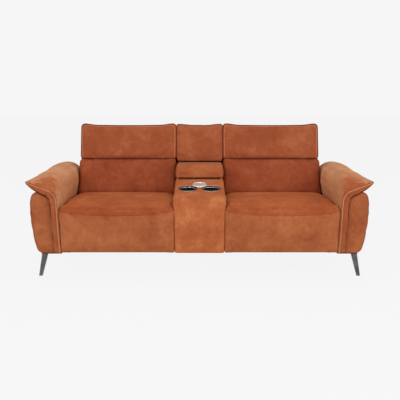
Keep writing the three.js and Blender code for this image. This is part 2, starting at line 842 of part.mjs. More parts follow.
function consoleCover() {
  const half = consoleHalf - fabricGap;
  const frontRear = consoleFront - fabricGap;
  const ringAt = (x) => {
    const share = arc((half + coverBulge - Math.abs(x)) / coverThickness);
    const inset = coverBulge * (1 - share);
    const topAt = (y) => topHeight(y) - inset;
    const under = (y) => topHeight(y) - coverThickness;
    const bendShares = [[0.2, 0.5], [0.45, 0.85], [1, 1]];
    const bend = bendShares.map(([a, b]) => [coverBend * a, mix(consoleShoulder, topAt(coverBend), b)]);
    return [
      [frontRear, skirtHeight], [inset, skirtHeight],
      [inset - seatGap, middle([skirtHeight, consoleShoulder])], [inset, consoleShoulder], ...bend,
      [cupDepth, topAt(cupDepth)], [coverEnd, topAt(coverEnd)],
      [coverEnd, under(coverEnd)], [consoleFront + coverThickness, under(consoleFront + coverThickness)],
      [frontRear, consoleShoulder],
    ];
  };
  const body = loft(stations([-half, half], coverThickness, 3, 4), ringAt, 'x');
  const corner = body.getAttribute('position');
  for (let i = 0; i < corner.count; i += 1) {
    const share = THREE.MathUtils.smoothstep(corner.getZ(i), ...flareRange);
    corner.setX(i, corner.getX(i) * mix(1, (half + coverFlare) / half, share));
  }
  const holes = [-1, 1].map((side) => cupTool(cupInner + cupWall + cupClearance, side * cupSpacing / 2));
  return cut(body, ...holes);
}

// Turns a lathe piece to stand square on the console's sloping top
function onTop(geometry, x, y) {
  geometry.rotateX(Math.PI / 2);
  geometry.rotateX(topSlope);
  geometry.translate(x, y, topHeight(y));
  return plain(geometry);
}

function cupHolder(x) {
  const outer = cupInner + cupWall;
  const seatZ = fabricGap;
  const profile = [
    [0, -cupWell], [outer - cupWall, -cupWell], [outer, -cupWell + cupWall], [outer, seatZ],
    [cupRim, seatZ], [cupRim, seatZ + cupFlange / 2], [cupRim - cupFlange / 2, seatZ + cupFlange],
    [cupInner + cupFlange, seatZ + cupFlange], [cupInner, seatZ + cupFlange / 2],
    [cupInner - cupWall, -cupWell + 2 * cupWall], [cupInner - 2 * cupWall, -cupWell + cupWall],
    [0, -cupWell + cupWall],
  ].map(([r, z]) => new THREE.Vector2(r, z));
  return onTop(new THREE.LatheGeometry(profile, roundSides), x, cupDepth);
}

function chargerDisc() {
  const outer = chargerRadius - fabricGap;
  const crownShares = [[1, 0.45], [0.8, 0.81], [0.4, 0.96], [0, 1]];
  const profile = [
    [0, fabricGap], [outer, fabricGap], ...crownShares.map(([a, b]) => [outer * a, chargerHeight * b]),
  ].map(([r, z]) => new THREE.Vector2(r, z));
  return onTop(new THREE.LatheGeometry(profile, roundSides), 0, chargerDepth);
}

function chargerRing() {
  const ringCrownShare = 0.8;
  const outer = chargerRadius + chargerRingWidth;
  const profile = [
    [chargerRadius, fabricGap], [outer, fabricGap], [outer, chargerHeight / 2],
    [middle([chargerRadius, outer]), chargerHeight * ringCrownShare], [chargerRadius, chargerHeight / 2],
    [chargerRadius, fabricGap],
  ].map(([r, z]) => new THREE.Vector2(r, z));
  return onTop(new THREE.LatheGeometry(profile, roundSides), 0, chargerDepth);
}

function storageBin() {
  const x = [-binHalf, binHalf];
  const y = [binFront, binRear];
  const flangeLow = lidShelf + fabricGap;
  const flangeX = [-consoleHalf + binFlange, consoleHalf - binFlange];
  const flange = block(flangeX, [binFront - binFlange / 2, consoleRear - binFlange],
    [flangeLow, flangeLow + binFlangeThickness]);
  const body = join(block(x, y, [binLow, flangeLow + binFlangeThickness]), flange);
  const hollow = block([x[0] + binWall, x[1] - binWall], [y[0] + binWall, y[1] - binWall],
    [binLow + binWall, flangeLow + binFlangeThickness + overrun]);
  return cut(body, hollow);
}

const lidArms = [[-lidArmX, -lidArmX + lidArmWidth], [lidArmX - lidArmWidth, lidArmX]];

function lidBoard() {
  const level = [lidLow, lidLow + lidBoardThickness];
  const half = lidHalf - seatDrawIn;
  const panel = block([-half, half], [lidFront + seatDrawIn, lidRear - seatGap], level);
  const arms = lidArms.map((x) => {
    const foot = block(x, [lidRear - 2 * seatDrawIn, lidAxisDepth + pinRadius / 2], level);
    const post = block(x, [lidRear + fabricGap * 2, lidAxisDepth + pinRadius / 2],
      [lidLow, lidAxisHeight + pinRadius / 2]);
    return join(foot, post);
  });
  const bores = lidArms.map((x) => rod(pinRadius / 2 - plateGap + boreClearance,
    [x[0] - plateGap, x[1] + plateGap], lidAxisDepth, lidAxisHeight));
  return cut(join(panel, ...arms), ...bores);
}

function lidPad() {
  const cushion = pad({
    x: [-lidHalf, lidHalf],
    y: [lidFront, lidRear],
    z: [lidLow - lidRimDrop, lidTop],
    edge: cushionEdge / 2,
    drawIn: seatDrawIn,
    crown: seatGap,
    round: firmRound,
    inner: shortPadStations,
  });
  const half = lidHalf - seatDrawIn + fabricGap;
  const recess = block([-half, half], [lidFront + seatDrawIn - fabricGap, lidRear + overrun],
    [lidLow - overrun, lidLow + lidBoardThickness + fabricGap]);
  return cut(cushion, recess);
}

// Console back, in the leaning frame: a fixed frame and cover, and a padded board that drops forwards
function consoleBackFrame() {
  const width = [-dropBoardHalf, dropBoardHalf];
  const y = [backFrameFront, backFrameFront + backFrameDepth];
  const sides = [-1, 1].map((side) => {
    const x = [side * (dropArmInner - railWidth), side * dropArmOuter].sort((a, b) => a - b);
    return block(x, y, [backFrameLow, backFrameHigh]);
  });
  const rails = [backFrameLow, dropLow - crossTube, backFrameHigh - crossTube].map((low) => {
    return block(width, y, [low, low + crossTube]);
  });
  const arms = [-1, 1].map((side) => {
    const x = [side * dropArmInner, side * dropArmOuter].sort((a, b) => a - b);
    const z = [dropAxisHeight - pinRadius, dropAxisHeight + pinRadius];
    const arm = block(x, [dropAxisDepth - pinRadius, backFrameFront + plateGap], z);
    const pinX = [side * (dropEarInner - plateGap), side * (dropArmInner + plateGap)].sort((a, b) => a - b);
    return join(arm, rod(pinRadius / 2, pinX, dropAxisDepth, dropAxisHeight));
  });
  const footLevel = consoleRear + fabricGap - backPivotDepth;
  const footDepth = (footLevel - backFrameLow * Math.sin(lean)) / Math.cos(lean);
  const foot = block([-consoleHalf + consoleWall, consoleHalf - consoleWall],
    [footDepth, backFrameFront + plateGap], [backFrameLow, backFrameLow + 2 * crossTube]);
  return join(...sides, ...rails, ...arms, foot);
}

function lidHinge() {
  const arms = lidArms.map((x) => {
    const side = Math.sign(middle(x));
    const from = side * (Math.max(Math.abs(x[0]), Math.abs(x[1])) + plateGap);
    const near = [from, from + side * plateThickness].sort((a, b) => a - b);
    const y = [lidAxisDepth - pinRadius / 2, consoleRear + fabricGap + pinRadius];
    const post = block(near, y, [lidShelf + pinRadius, lidAxisHeight + pinRadius / 2]);
    const inside = side * (Math.min(Math.abs(x[0]), Math.abs(x[1])) - plateGap);
    const pinX = [inside, from + side * plateThickness / 2].sort((a, b) => a - b);
    return join(post, rod(pinRadius / 2 - plateGap, pinX, lidAxisDepth, lidAxisHeight));
  });
  const bar = block([-lidArmX - 2 * plateThickness, lidArmX + 2 * plateThickness],
    [consoleRear + fabricGap, consoleRear + fabricGap + pinRadius], [lidShelf - overrun, lidShelf + overrun]);
  return join(...arms, bar);
}

function dropBoard() {
  const y = [dropRear + fabricGap, dropRear + fabricGap + dropBoardThickness];
  const panel = block([-dropBoardHalf, dropBoardHalf], y, [dropLow + seatDrawIn, dropHigh - 2 * seatDrawIn]);
  const ears = [-1, 1].map((side) => {
    const x = [side * dropEarInner, side * dropEarOuter].sort((a, b) => a - b);
    const z = [dropAxisHeight - dropEarReach, dropAxisHeight + dropEarReach];
    return block(x, [dropAxisDepth - dropEarReach, y[1]], z);
  });
  const bores = [-1, 1].map((side) => {
    const x = [side * (dropEarInner - plateGap), side * (dropEarOuter + plateGap)].sort((a, b) => a - b);
    return rod(pinRadius / 2 + boreClearance, x, dropAxisDepth, dropAxisHeight);
  });
  return cut(join(panel, ...ears), ...bores);
}

function dropPad() {
  const cushion = pad({
    x: [-dropHalf, dropHalf],
    y: [dropFront, dropRear],
    z: [dropLow, dropHigh],
    edge: cushionEdge / 2,
    drawIn: seatDrawIn,
    crown: cushionCrown / 2,
    round: firmRound,
    top: (share) => dropSaddle * (share * share - 1),
    inner: shortPadStations,
  });
  const notches = [-1, 1].map((side) => {
    const x = [side * dropNotch, side * (dropHalf + overrun)].sort((a, b) => a - b);
    return block(x, [dropNotchFront, dropRear + overrun], [dropLow - overrun, dropNotchHigh]);
  });
  return cut(cushion, ...notches);
}

function consoleBackCover() {
  const range = [-consoleCoverHalf, consoleCoverHalf];
  const shift = backFrameFront + backFrameDepth - frameFront - frameDepth;
  const ringAt = (x) => {
    const ring = coverRing(x, range);
    const inside = frameFront + frameDepth + fabricGap;
    return ring.map(([a, b]) => [a <= inside ? inside + shift : a, b]);
  };
  return loft(stations(range, cushionEdge, 2, 2), ringAt, 'x');
}

// Switches on the console's sides, facing each seat
const switchFace = consoleHalf + fabricGap;

function rockerPlace(index) {
  const centre = switchDepth + switchLength / 2 + (index - 1 / 2) * rockerSpacing;
  const low = switchHeight + (switchTall - rockerTall) / 2;
  return { y: [centre - rockerLength / 2, centre + rockerLength / 2], z: [low, low + rockerTall] };
}

function switchPlate() {
  const plate = block([switchFace, switchFace + switchThickness], [switchDepth, switchDepth + switchLength],
    [switchHeight, switchHeight + switchTall]);
  const windows = [0, 1].map((index) => {
    const { y, z } = rockerPlace(index);
    return block([switchFace - overrun, switchFace + overrun], [y[0] - rockerSideGap, y[1] + rockerSideGap],
      [z[0] - rockerTiltGap, z[1] + rockerTiltGap]);
  });
  return cut(plate, ...windows);
}

function rocker(index) {
  const { y, z } = rockerPlace(index);
  const face = switchFace + rockerTiltGap;
  return block([face, face + rockerThickness], y, z);
}

// Assembly
placePair('arm_frame', armFrame(), board);
placePair('arm_body', armBody(), fabric);
placePair('arm_pad', armPad(), litFabric);
placePair('arm_front_band', armBand(), fabric);
placePair('front_leg', leg(frontLegDepth, -legSplayY), gunmetal);
placePair('rear_leg', leg(rearLegDepth, legSplayY), gunmetal);
placePair('seat_frame', seatFrame(), steel);
placePair('seat_deck', seatDeck(), steel);
placePair('seat_cushion', seatCushion(), fabric);

const knee = [kneeDepth, kneeHeight];
placePair('footrest_rear_links', linkPair([footPivotDepth, footPivotHeight], knee, 0), steel);
placePair('footrest_front_links', linkPair(knee, [boardPivotDepth, boardPivotHeight], linkStep), steel);
placePair('footrest_board', footrestBoard(), board);
placePair('footrest_pad', footrestPad(), litFabric);
placePair('drive_rail', driveRail(), greyPlastic);
placePair('drive_carriage', driveCarriage(), greyPlastic);

placePair('back_frame', backFrame(), steel, leaning);
placePair('lumbar_cushion', lumbarCushion(), fabric, leaning);
placePair('headrest_bracket', headrestBracket(), steel, leaning);
placePair('headrest_cushion', headrestCushion(), fabric, leaning);
placePair('back_cover', backCover(), fabric, leaning);

place('console_frame', consoleFrame(), board);
place('console_cover', consoleCover(), litFabric);
place('cup_holder_left', cupHolder(-cupSpacing / 2), blackPlastic);
place('cup_holder_right', cupHolder(cupSpacing / 2), blackPlastic);
place('charger_disc', chargerDisc(), pearl);
place('charger_ring', chargerRing(), chrome);
place('storage_bin', storageBin(), greyPlastic);
place('lid_board', lidBoard(), board);
place('lid_pad', lidPad(), litFabric);
place('lid_hinge', lidHinge(), steel);
place('console_back_frame', consoleBackFrame(), steel, leaning);
place('console_back_board', dropBoard(), board, leaning);
place('console_back_pad', dropPad(), fabric, leaning);
place('console_back_cover', consoleBackCover(), fabric, leaning);

placePair('switch_plate', switchPlate(), greyPlastic);
placePair('front_rocker', rocker(0), blackPlastic);
placePair('rear_rocker', rocker(1), blackPlastic);

// The origin lies on the floor under the middle of the sofa
const reach = new THREE.Box3().setFromObject(sofa, true);
sofa.position.y = -(reach.min.y + reach.max.y) / 2;

export default sofa;
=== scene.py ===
import math

import bmesh
import bpy
from mathutils import Matrix, Vector, noise
from mathutils.bvhtree import BVHTree
from mathutils.kdtree import KDTree


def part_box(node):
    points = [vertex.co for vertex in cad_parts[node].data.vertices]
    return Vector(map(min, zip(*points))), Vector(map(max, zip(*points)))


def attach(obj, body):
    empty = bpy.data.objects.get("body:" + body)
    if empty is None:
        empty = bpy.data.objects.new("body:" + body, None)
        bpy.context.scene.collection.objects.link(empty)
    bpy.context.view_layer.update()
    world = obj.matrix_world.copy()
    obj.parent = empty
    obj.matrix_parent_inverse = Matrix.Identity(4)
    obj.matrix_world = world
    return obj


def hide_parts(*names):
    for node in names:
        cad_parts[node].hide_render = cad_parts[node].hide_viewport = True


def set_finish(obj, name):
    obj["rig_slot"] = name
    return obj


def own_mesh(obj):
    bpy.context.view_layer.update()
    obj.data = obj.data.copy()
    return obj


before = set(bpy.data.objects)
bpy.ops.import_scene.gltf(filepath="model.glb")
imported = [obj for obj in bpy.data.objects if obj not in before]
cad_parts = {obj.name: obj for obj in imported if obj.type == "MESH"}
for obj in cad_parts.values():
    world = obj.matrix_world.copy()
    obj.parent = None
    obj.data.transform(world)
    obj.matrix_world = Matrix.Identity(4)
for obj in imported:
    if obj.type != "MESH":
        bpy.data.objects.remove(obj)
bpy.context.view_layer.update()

# Reclining sofa for two with a console. Metres, X to the viewer's right, Y to the back, Z up.
# Depths in the seam tables are measured from the plane of the seat fronts. The shape rules work in
# millimetres, and each ease() in them gives the span over which a change fades in.
band_depth = 0.020
seat_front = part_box("right_arm_body")[0].y - band_depth
lean = math.radians(14)
recline_axis = Vector((0, seat_front + 0.620, 0.300))
upright = Matrix.Translation((0, seat_front, 0))
lean_turn = Matrix.Translation(recline_axis) @ Matrix.Rotation(-lean, 4, "X")
top_slope = math.radians(9)

# The console's sloping top, in millimetres: where the cup holders and the disc lie, and how high it is there
cup_side = 74
cups_at = 220
disc_at = 304
shelf_height = 534


def at(x, y, z):
    """A point given from the seat fronts, in millimetres."""
    return upright @ Vector((x / 1000, y / 1000, z / 1000))


def leaning(x, y, z):
    """A point given in the leaning frame of the backs, in millimetres."""
    return lean_turn @ Vector((x / 1000, y / 1000, z / 1000))


def on_top(x, y):
    """The frame of a round fitting that stands square on the console's sloping top."""
    height = shelf_height + (y - cups_at) * math.tan(top_slope)
    return Matrix.Translation(at(x, y, height)) @ Matrix.Rotation(top_slope, 4, "X")


def ease(value, low, high):
    """Runs smoothly from 0 to 1 as the value goes from low to high."""
    share = min(1, max(0, (value - low) / (high - low)))
    return share * share * (3 - 2 * share)


# Colours
def paint(code):
    """A colour written as in a paint chart, as the shader's linear values."""
    values = [int(code[i:i + 2], 16) / 255 for i in (0, 2, 4)]
    linear = [v / 12.92 if v <= 0.04045 else ((v + 0.055) / 1.055) ** 2.4 for v in values]
    return (*linear, 1)


# Node helpers
def add(tree, kind, where=(0, 0), **values):
    node = tree.nodes.new(kind)
    node.location = where
    for key, value in values.items():
        setattr(node, key, value)
    return node


def link(tree, a, b):
    tree.links.new(a, b)


def new_group(name, inputs, outputs):
    """An empty node group with named inputs and outputs."""
    group = bpy.data.node_groups.new(name, "ShaderNodeTree")
    for label, kind, value in inputs:
        socket = group.interface.new_socket(name=label, in_out="INPUT", socket_type=kind)
        if value is not None:
            socket.default_value = value
    for label, kind in outputs:
        group.interface.new_socket(name=label, in_out="OUTPUT", socket_type=kind)
    return group, add(group, "NodeGroupInput", (-900, 0)), add(group, "NodeGroupOutput", (700, 0))


def noise_in(tree, vector, scale, detail, roughness, distortion, where):
    """A noise texture. Its scale is a number or another node's value."""
    node = add(tree, "ShaderNodeTexNoise", where)
    node.inputs["Detail"].default_value = detail
    node.inputs["Roughness"].default_value = roughness
    node.inputs["Distortion"].default_value = distortion
    link(tree, vector, node.inputs["Vector"])
    if isinstance(scale, (int, float)):
        node.inputs["Scale"].default_value = scale
    else:
        link(tree, scale, node.inputs["Scale"])
    return node.outputs["Fac"]


def maths(tree, operation, a, b):
    """A sum on two values, each a number or another node's value."""
    node = add(tree, "ShaderNodeMath", operation=operation)
    for socket, value in zip(node.inputs, (a, b)):
        if isinstance(value, (int, float)):
            socket.default_value = value
        else:
            link(tree, value, socket)
    return node.outputs[0]


def shared(tree, a, b, a_share, b_share):
    """Two values added by their shares."""
    return maths(tree, "ADD", maths(tree, "MULTIPLY", a, a_share), maths(tree, "MULTIPLY", b, b_share))


def nap_group():
    """Brushed nap: clouds where the pile lies differently, stroked patches and fine fibre."""
    group, start, end = new_group(
        "brushed nap",
        [("Vector", "NodeSocketVector", None), ("Cloud Scale", "NodeSocketFloat", 6.0),
         ("Stroke Scale", "NodeSocketFloat", 26.0), ("Fibre Scale", "NodeSocketFloat", 900.0)],
        [("Tone", "NodeSocketFloat"), ("Fibre", "NodeSocketFloat"), ("Height", "NodeSocketFloat")])
    vector = start.outputs["Vector"]
    clouds = noise_in(group, vector, start.outputs["Cloud Scale"], 3, 0.55, 0.4, (-600, 200))
    strokes = noise_in(group, vector, start.outputs["Stroke Scale"], 4, 0.6, 0.9, (-600, 0))
    fibre = noise_in(group, vector, start.outputs["Fibre Scale"], 2, 0.6, 0.0, (-600, -200))
    patches = shared(group, clouds, strokes, 0.6, 0.4)
    link(group, shared(group, patches, fibre, 0.88, 0.12), end.inputs["Tone"])
    link(group, fibre, end.inputs["Fibre"])
    link(group, shared(group, fibre, strokes, 0.7, 0.3), end.inputs["Height"])
    return group


def wear_group():
    """Cloudy handling marks and fine scratches for hard finishes."""
    group, start, end = new_group(
        "surface wear",
        [("Vector", "NodeSocketVector", None), ("Cloud Scale", "NodeSocketFloat", 14.0),
         ("Scratch Scale", "NodeSocketFloat", 120.0), ("Stretch", "NodeSocketVector", (1, 1, 12))],
        [("Cloud", "NodeSocketFloat"), ("Scratch", "NodeSocketFloat")])
    vector = start.outputs["Vector"]
    clouds = noise_in(group, vector, start.outputs["Cloud Scale"], 4, 0.6, 0.2, (-500, 200))
    stretch = add(group, "ShaderNodeVectorMath", (-700, -100), operation="MULTIPLY")
    link(group, vector, stretch.inputs[0])
    link(group, start.outputs["Stretch"], stretch.inputs[1])
    scratch = noise_in(group, stretch.outputs[0], start.outputs["Scratch Scale"], 3, 0.7, 0.0, (-500, -100))
    link(group, clouds, end.inputs["Cloud"])
    link(group, scratch, end.inputs["Scratch"])
    return group


nap = nap_group()
wear = wear_group()


def ramp(tree, factor, stops, where):
    """Colours spread over a value, each at its place."""
    node = add(tree, "ShaderNodeValToRGB", where)
    band = node.color_ramp
    while len(band.elements) < len(stops):
        band.elements.new(0.5)
    for element, (place, colour) in zip(band.elements, stops):
        element.position = place
        element.color = colour
    link(tree, factor, node.inputs["Fac"])
    return node.outputs["Color"]


def remap(tree, value, low, high, where):
    """A value from 0 to 1 stretched to run from low to high."""
    node = add(tree, "ShaderNodeMapRange", where)
    node.inputs["To Min"].default_value = low
    node.inputs["To Max"].default_value = high
    link(tree, value, node.inputs["Value"])
    return node.outputs["Result"]


def start_material(name, size=(1, 1, 1)):
    """A material with its tree, its shader and the object's own coordinates."""
    material = bpy.data.materials.new(name)
    material.use_nodes = True
    tree = material.node_tree
    shader = tree.nodes["Principled BSDF"]
    place = add(tree, "ShaderNodeTexCoord", (-1400, 0))
    mapping = add(tree, "ShaderNodeMapping", (-1200, 0))
    mapping.inputs["Scale"].default_value = size
    link(tree, place.outputs["Object"], mapping.inputs["Vector"])
    return material, tree, shader, mapping.outputs["Vector"]


def use_group(tree, group, vector, **values):
    """A shared effect, with some of its inputs set."""
    node = add(tree, "ShaderNodeGroup", (-900, 0), node_tree=group)
    link(tree, vector, node.inputs["Vector"])
    for key, value in values.items():
        node.inputs[key.replace("_", " ").title()].default_value = value
    return node


def bump(tree, shader, height, strength, distance):
    node = add(tree, "ShaderNodeBump", (-300, -300))
    node.inputs["Strength"].default_value = strength
    node.inputs["Distance"].default_value = distance
    link(tree, height, node.inputs["Height"])
    link(tree, node.outputs["Normal"], shader.inputs["Normal"])


def tone_ramp(tree, tone, codes, where):
    """Three tones of one colour, spread over the nap."""
    places = (0.30, 0.5, 0.72)
    return ramp(tree, tone, [(place, paint(code)) for place, code in zip(places, codes)], where)


def nubuck(name, *tones, cloud=6.0, stroke=26.0, sheen=0.05, painted_light_tones=None, turn=(-0.8, -0.2)):
    """Brushed nubuck in three tones. A second set of paler tones, if given, is painted light: it is mixed in
    by the surface's normal where the surface turns from the front towards the top or the sides.
    """
    material, tree, shader, vector = start_material(name)
    node = use_group(tree, nap, vector, cloud_scale=cloud, stroke_scale=stroke, fibre_scale=1100.0)
    colour = tone_ramp(tree, node.outputs["Tone"], tones, (-600, 200))
    if painted_light_tones:
        # Painted light: paler tones where the surface faces away from the front, in place of light falling
        # on tops and sides.
        facing = add(tree, "ShaderNodeSeparateXYZ", (-1200, 500))
        link(tree, tree.nodes["Texture Coordinate"].outputs["Normal"], facing.inputs[0])
        share = add(tree, "ShaderNodeMapRange", (-900, 500), interpolation_type="SMOOTHSTEP")
        share.inputs["From Min"].default_value, share.inputs["From Max"].default_value = turn
        link(tree, facing.outputs["Y"], share.inputs["Value"])
        pale = tone_ramp(tree, node.outputs["Tone"], painted_light_tones, (-600, 500))
        mix = add(tree, "ShaderNodeMix", (-300, 300), data_type="RGBA")
        link(tree, share.outputs["Result"], mix.inputs["Factor"])
        link(tree, colour, mix.inputs[6])
        link(tree, pale, mix.inputs[7])
        colour = mix.outputs[2]
    link(tree, colour, shader.inputs["Base Color"])
    link(tree, remap(tree, node.outputs["Tone"], 0.95, 0.72, (-600, -100)), shader.inputs["Roughness"])
    shader.inputs["Specular IOR Level"].default_value = 0.25
    shader.inputs["Sheen Weight"].default_value = sheen
    shader.inputs["Sheen Roughness"].default_value = 0.45
    shader.inputs["Sheen Tint"].default_value = paint("F0B48C")
    bump(tree, shader, node.outputs["Height"], 0.35, 0.0006)
    return material


def metal(name, dark, light, roughness, stretch=(1, 1, 12), metallic=1.0):
    """Metal that runs cloudily from dark to light, with fine scratches."""
    material, tree, shader, vector = start_material(name)
    node = use_group(tree, wear, vector, stretch=stretch)
    link(tree, ramp(tree, node.outputs["Cloud"], [(0.3, paint(dark)), (0.7, paint(light))], (-600, 200)),
         shader.inputs["Base Color"])
    link(tree, remap(tree, node.outputs["Scratch"], roughness * 0.75, roughness * 1.3, (-600, -100)),
         shader.inputs["Roughness"])
    shader.inputs["Metallic"].default_value = metallic
    bump(tree, shader, node.outputs["Scratch"], 0.15, 0.0004)
    return material


def plastic(name, dark, light, roughness, coat=0.0, specular=0.5):
    """Plastic with faint clouds and scratches, under a clear coat if one is given."""
    material, tree, shader, vector = start_material(name)
    node = use_group(tree, wear, vector, cloud_scale=30.0, scratch_scale=400.0, stretch=(1, 1, 1))
    link(tree, ramp(tree, node.outputs["Cloud"], [(0.35, paint(dark)), (0.65, paint(light))], (-600, 200)),
         shader.inputs["Base Color"])
    link(tree, remap(tree, node.outputs["Cloud"], roughness * 0.8, roughness * 1.25, (-600, -100)),
         shader.inputs["Roughness"])
    shader.inputs["Specular IOR Level"].default_value = specular
    shader.inputs["Coat Weight"].default_value = coat
    shader.inputs["Coat Roughness"].default_value = 0.08
    bump(tree, shader, node.outputs["Scratch"], 0.08, 0.0002)
    return material


def plywood(name):
    """Wood with its grain along X."""
    material, tree, shader, vector = start_material(name, size=(1, 14, 14))
    grain = noise_in(tree, vector, 3.0, 5, 0.65, 1.2, (-900, 100))
    pores = noise_in(tree, vector, 60.0, 2, 0.5, 0.0, (-900, -200))
    link(tree, ramp(tree, grain, [(0.3, paint("8C6B42")), (0.5, paint("B08A5A")), (0.75, paint("C9A878"))],
                    (-600, 200)), shader.inputs["Base Color"])
    link(tree, remap(tree, pores, 0.6, 0.85, (-600, -100)), shader.inputs["Roughness"])
    bump(tree, shader, pores, 0.3, 0.0004)
    return material


# Copies of one burnt orange nubuck, whose tones differ from piece to piece as painted light and shade.
panel_fabric = nubuck("burnt orange nubuck", "8A4221", "A25831", "B86F44")
# The seat copy's second tones are painted light on the seat tops, leaving the front rolls darker.
seat_fabric = nubuck("burnt orange nubuck seat", "823615", "984621", "AD5B32",
                     painted_light_tones=("924018", "AA5526", "BE6A34"), turn=(-0.68, -0.04))
# A darker copy as painted shade, for the lumbar pads in the shade between the arms.
shaded_fabric = nubuck("burnt orange nubuck shaded", "7A3417", "914323", "A65833")
back_fabric = nubuck("burnt orange nubuck back", "863E1E", "9A4D2A", "B06740", cloud=5.0)
# The arm copy's second tones are painted light on the pads' tops and inner sides.
arm_fabric = nubuck("burnt orange nubuck arm", "8A4323", "A05430", "B56A41", cloud=5.0, sheen=0.15,
                    painted_light_tones=("B27045", "C5865C", "D39A72"))
console_fabric = nubuck("burnt orange nubuck console", "944A24", "AD5C32", "C47C4A", cloud=9.0, stroke=38.0,
                        sheen=0.0)
# A paler copy as painted highlight, for welt cords and rolls that catch the light.
lit_cord_fabric = nubuck("lit welt cord fabric", "A8623A", "BE7850", "CD8E66", stroke=60.0)
# A dark copy as painted shade, for cords laid where seams and silhouette edges fall in shadow.
shaded_welt_fabric = nubuck("welt cord fabric", "4E1F0E", "632C15", "7A3C20", stroke=60.0)
leg_metal = metal("gunmetal leg", "47464A", "7C7A7F", 0.34)
frame_steel = metal("dark steel", "232426", "37383A", 0.5, metallic=0.6)
board_wood = plywood("hardwood board")
gloss_black = plastic("gloss black plastic", "0C0B0C", "181617", 0.16, coat=0.6)
satin_black = plastic("satin black plastic", "050404", "0B0A0A", 0.5, specular=0.06)
# The storage bin, coloured reddish brown as painted shade so that the gap under the lid reads as shaded
# fabric.
bin_shade_brown = plastic("bin plastic in painted shade", "4A2010", "5A2A17", 0.7, specular=0.08)
grey_plastic = plastic("grey plastic", "29292C", "38383C", 0.5)
pearl_plastic = plastic("pearl plastic", "B59E94", "CDB8AE", 0.25, coat=0.3)
bright_chrome = metal("bright chrome", "C4BBB6", "E2DCD8", 0.22, stretch=(1, 1, 1), metallic=0.75)
rim_metal = metal("satin rim", "A8968C", "C9B6AA", 0.3, stretch=(1, 1, 1), metallic=0.7)
# Lining of the frames and the apron, darkened as painted shade so that the gaps where it shows read as
# fabric in shadow.
lining = nubuck("rust lining darkened as painted shade", "5A2612", "6E3119", "823F23", cloud=9.0, stroke=90.0, sheen=0.0)


# Meshes
def in_scene(name, data):
    obj = bpy.data.objects.new(name, data)
    bpy.context.scene.collection.objects.link(obj)
    return obj


def shade_smooth(mesh):
    for polygon in mesh.polygons:
        polygon.use_smooth = True


def new_object(name, mesh, material):
    """A smooth piece of one material."""
    mesh.materials.clear()
    mesh.materials.append(material)
    shade_smooth(mesh)
    return in_scene(name, mesh)


def opened(mesh):
    """A mesh's contents, open to edits."""
    bm = bmesh.new()
    bm.from_mesh(mesh)
    return bm


def stored(bm, mesh):
    """Writes edited contents to a mesh."""
    bm.to_mesh(mesh)
    bm.free()
    return mesh


def settled(obj):
    """The object's mesh with its modifiers worked in."""
    graph = bpy.context.evaluated_depsgraph_get()
    mesh = bpy.data.meshes.new_from_object(obj.evaluated_get(graph))
    old = obj.data
    obj.modifiers.clear()
    obj.data = mesh
    bpy.data.meshes.remove(old)


def copy_of(node):
    """A mesh copied from a CAD node, with its loose triangles merged."""
    bm = opened(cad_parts[node].data)
    bmesh.ops.remove_doubles(bm, verts=bm.verts, dist=1e-5)
    return stored(bm, bpy.data.meshes.new(node + "_form"))


def line_tree(lines):
    """A search tree of points close together along several lines."""
    step = 0.003
    points = []
    for line in lines:
        for a, b in zip(line, line[1:]):
            count = max(1, int((b - a).length / step))
            points += [a.lerp(b, i / count) for i in range(count)]
        points.append(line[-1])
    tree = KDTree(len(points))
    for i, point in enumerate(points):
        tree.insert(point, i)
    tree.balance()
    return tree


def soften(obj, rounds, held, reach):
    """Smooths a mesh, leaving alone what lies within reach of the held lines."""
    bm = opened(obj.data)
    free = [v for v in bm.verts if held is None or held.find(v.co)[2] > reach]
    for _ in range(rounds):
        bmesh.ops.smooth_vert(bm, verts=free, factor=0.5, use_axis_x=True, use_axis_y=True, use_axis_z=True)
    stored(bm, obj.data)


cloth_frames = 20
cloth_pressure = 4.0


def puff(obj, held, reach, cap):
    """A short cloth run that fills the pad while its seams are held, with a limit on how far it swells."""
    group = obj.vertex_groups.new(name="held")
    for v in obj.data.vertices:
        distance = held.find(v.co)[2] if held else reach
        group.add([v.index], max(0.0, 1 - distance / reach), "REPLACE")
    before = [v.co.copy() for v in obj.data.vertices]
    cloth = obj.modifiers.new("puff", "CLOTH")
    cloth.settings.quality = 4
    cloth.settings.mass = 0.3
    cloth.settings.use_pressure = True
    cloth.settings.uniform_pressure_force = cloth_pressure
    cloth.settings.shrink_min = -0.02
    cloth.settings.vertex_group_mass = "held"
    cloth.settings.effector_weights.gravity = 0
    cloth.collision_settings.use_collision = False
    cloth.point_cache.frame_start = 1
    cloth.point_cache.frame_end = cloth_frames
    scene = bpy.context.scene
    for number in range(1, cloth_frames + 1):
        scene.frame_set(number)
    settled(obj)
    scene.frame_set(1)
    for v, old in zip(obj.data.vertices, before):
        move = v.co - old
        if move.length > cap:
            v.co = old + move * (cap / move.length)
    obj.vertex_groups.clear()


def gather(obj, seam, pucker):
    """Raises and sinks a pad in small puckers beside its stitched line."""
    pitch, width = 0.03, 0.006
    normals = [v.normal.copy() for v in obj.data.vertices]
    for v, normal in zip(obj.data.vertices, normals):
        distance = seam.find(v.co)[2]
        if distance <= width * 6:
            wave = noise.noise(v.co / pitch) * pucker * math.exp(-(distance / (width * 3)) ** 2)
            v.co += normal * wave


def corners(points):
    """The lowest and highest corner of a set of points."""
    return [Vector([pick(p[i] for p in points) for i in range(3)]) for pick in (min, max)]


def local_points(obj, frame_turn):
    """The object's points as the frame has them that the piece is built in."""
    back = frame_turn.inverted()
    return [back @ v.co for v in obj.data.vertices]


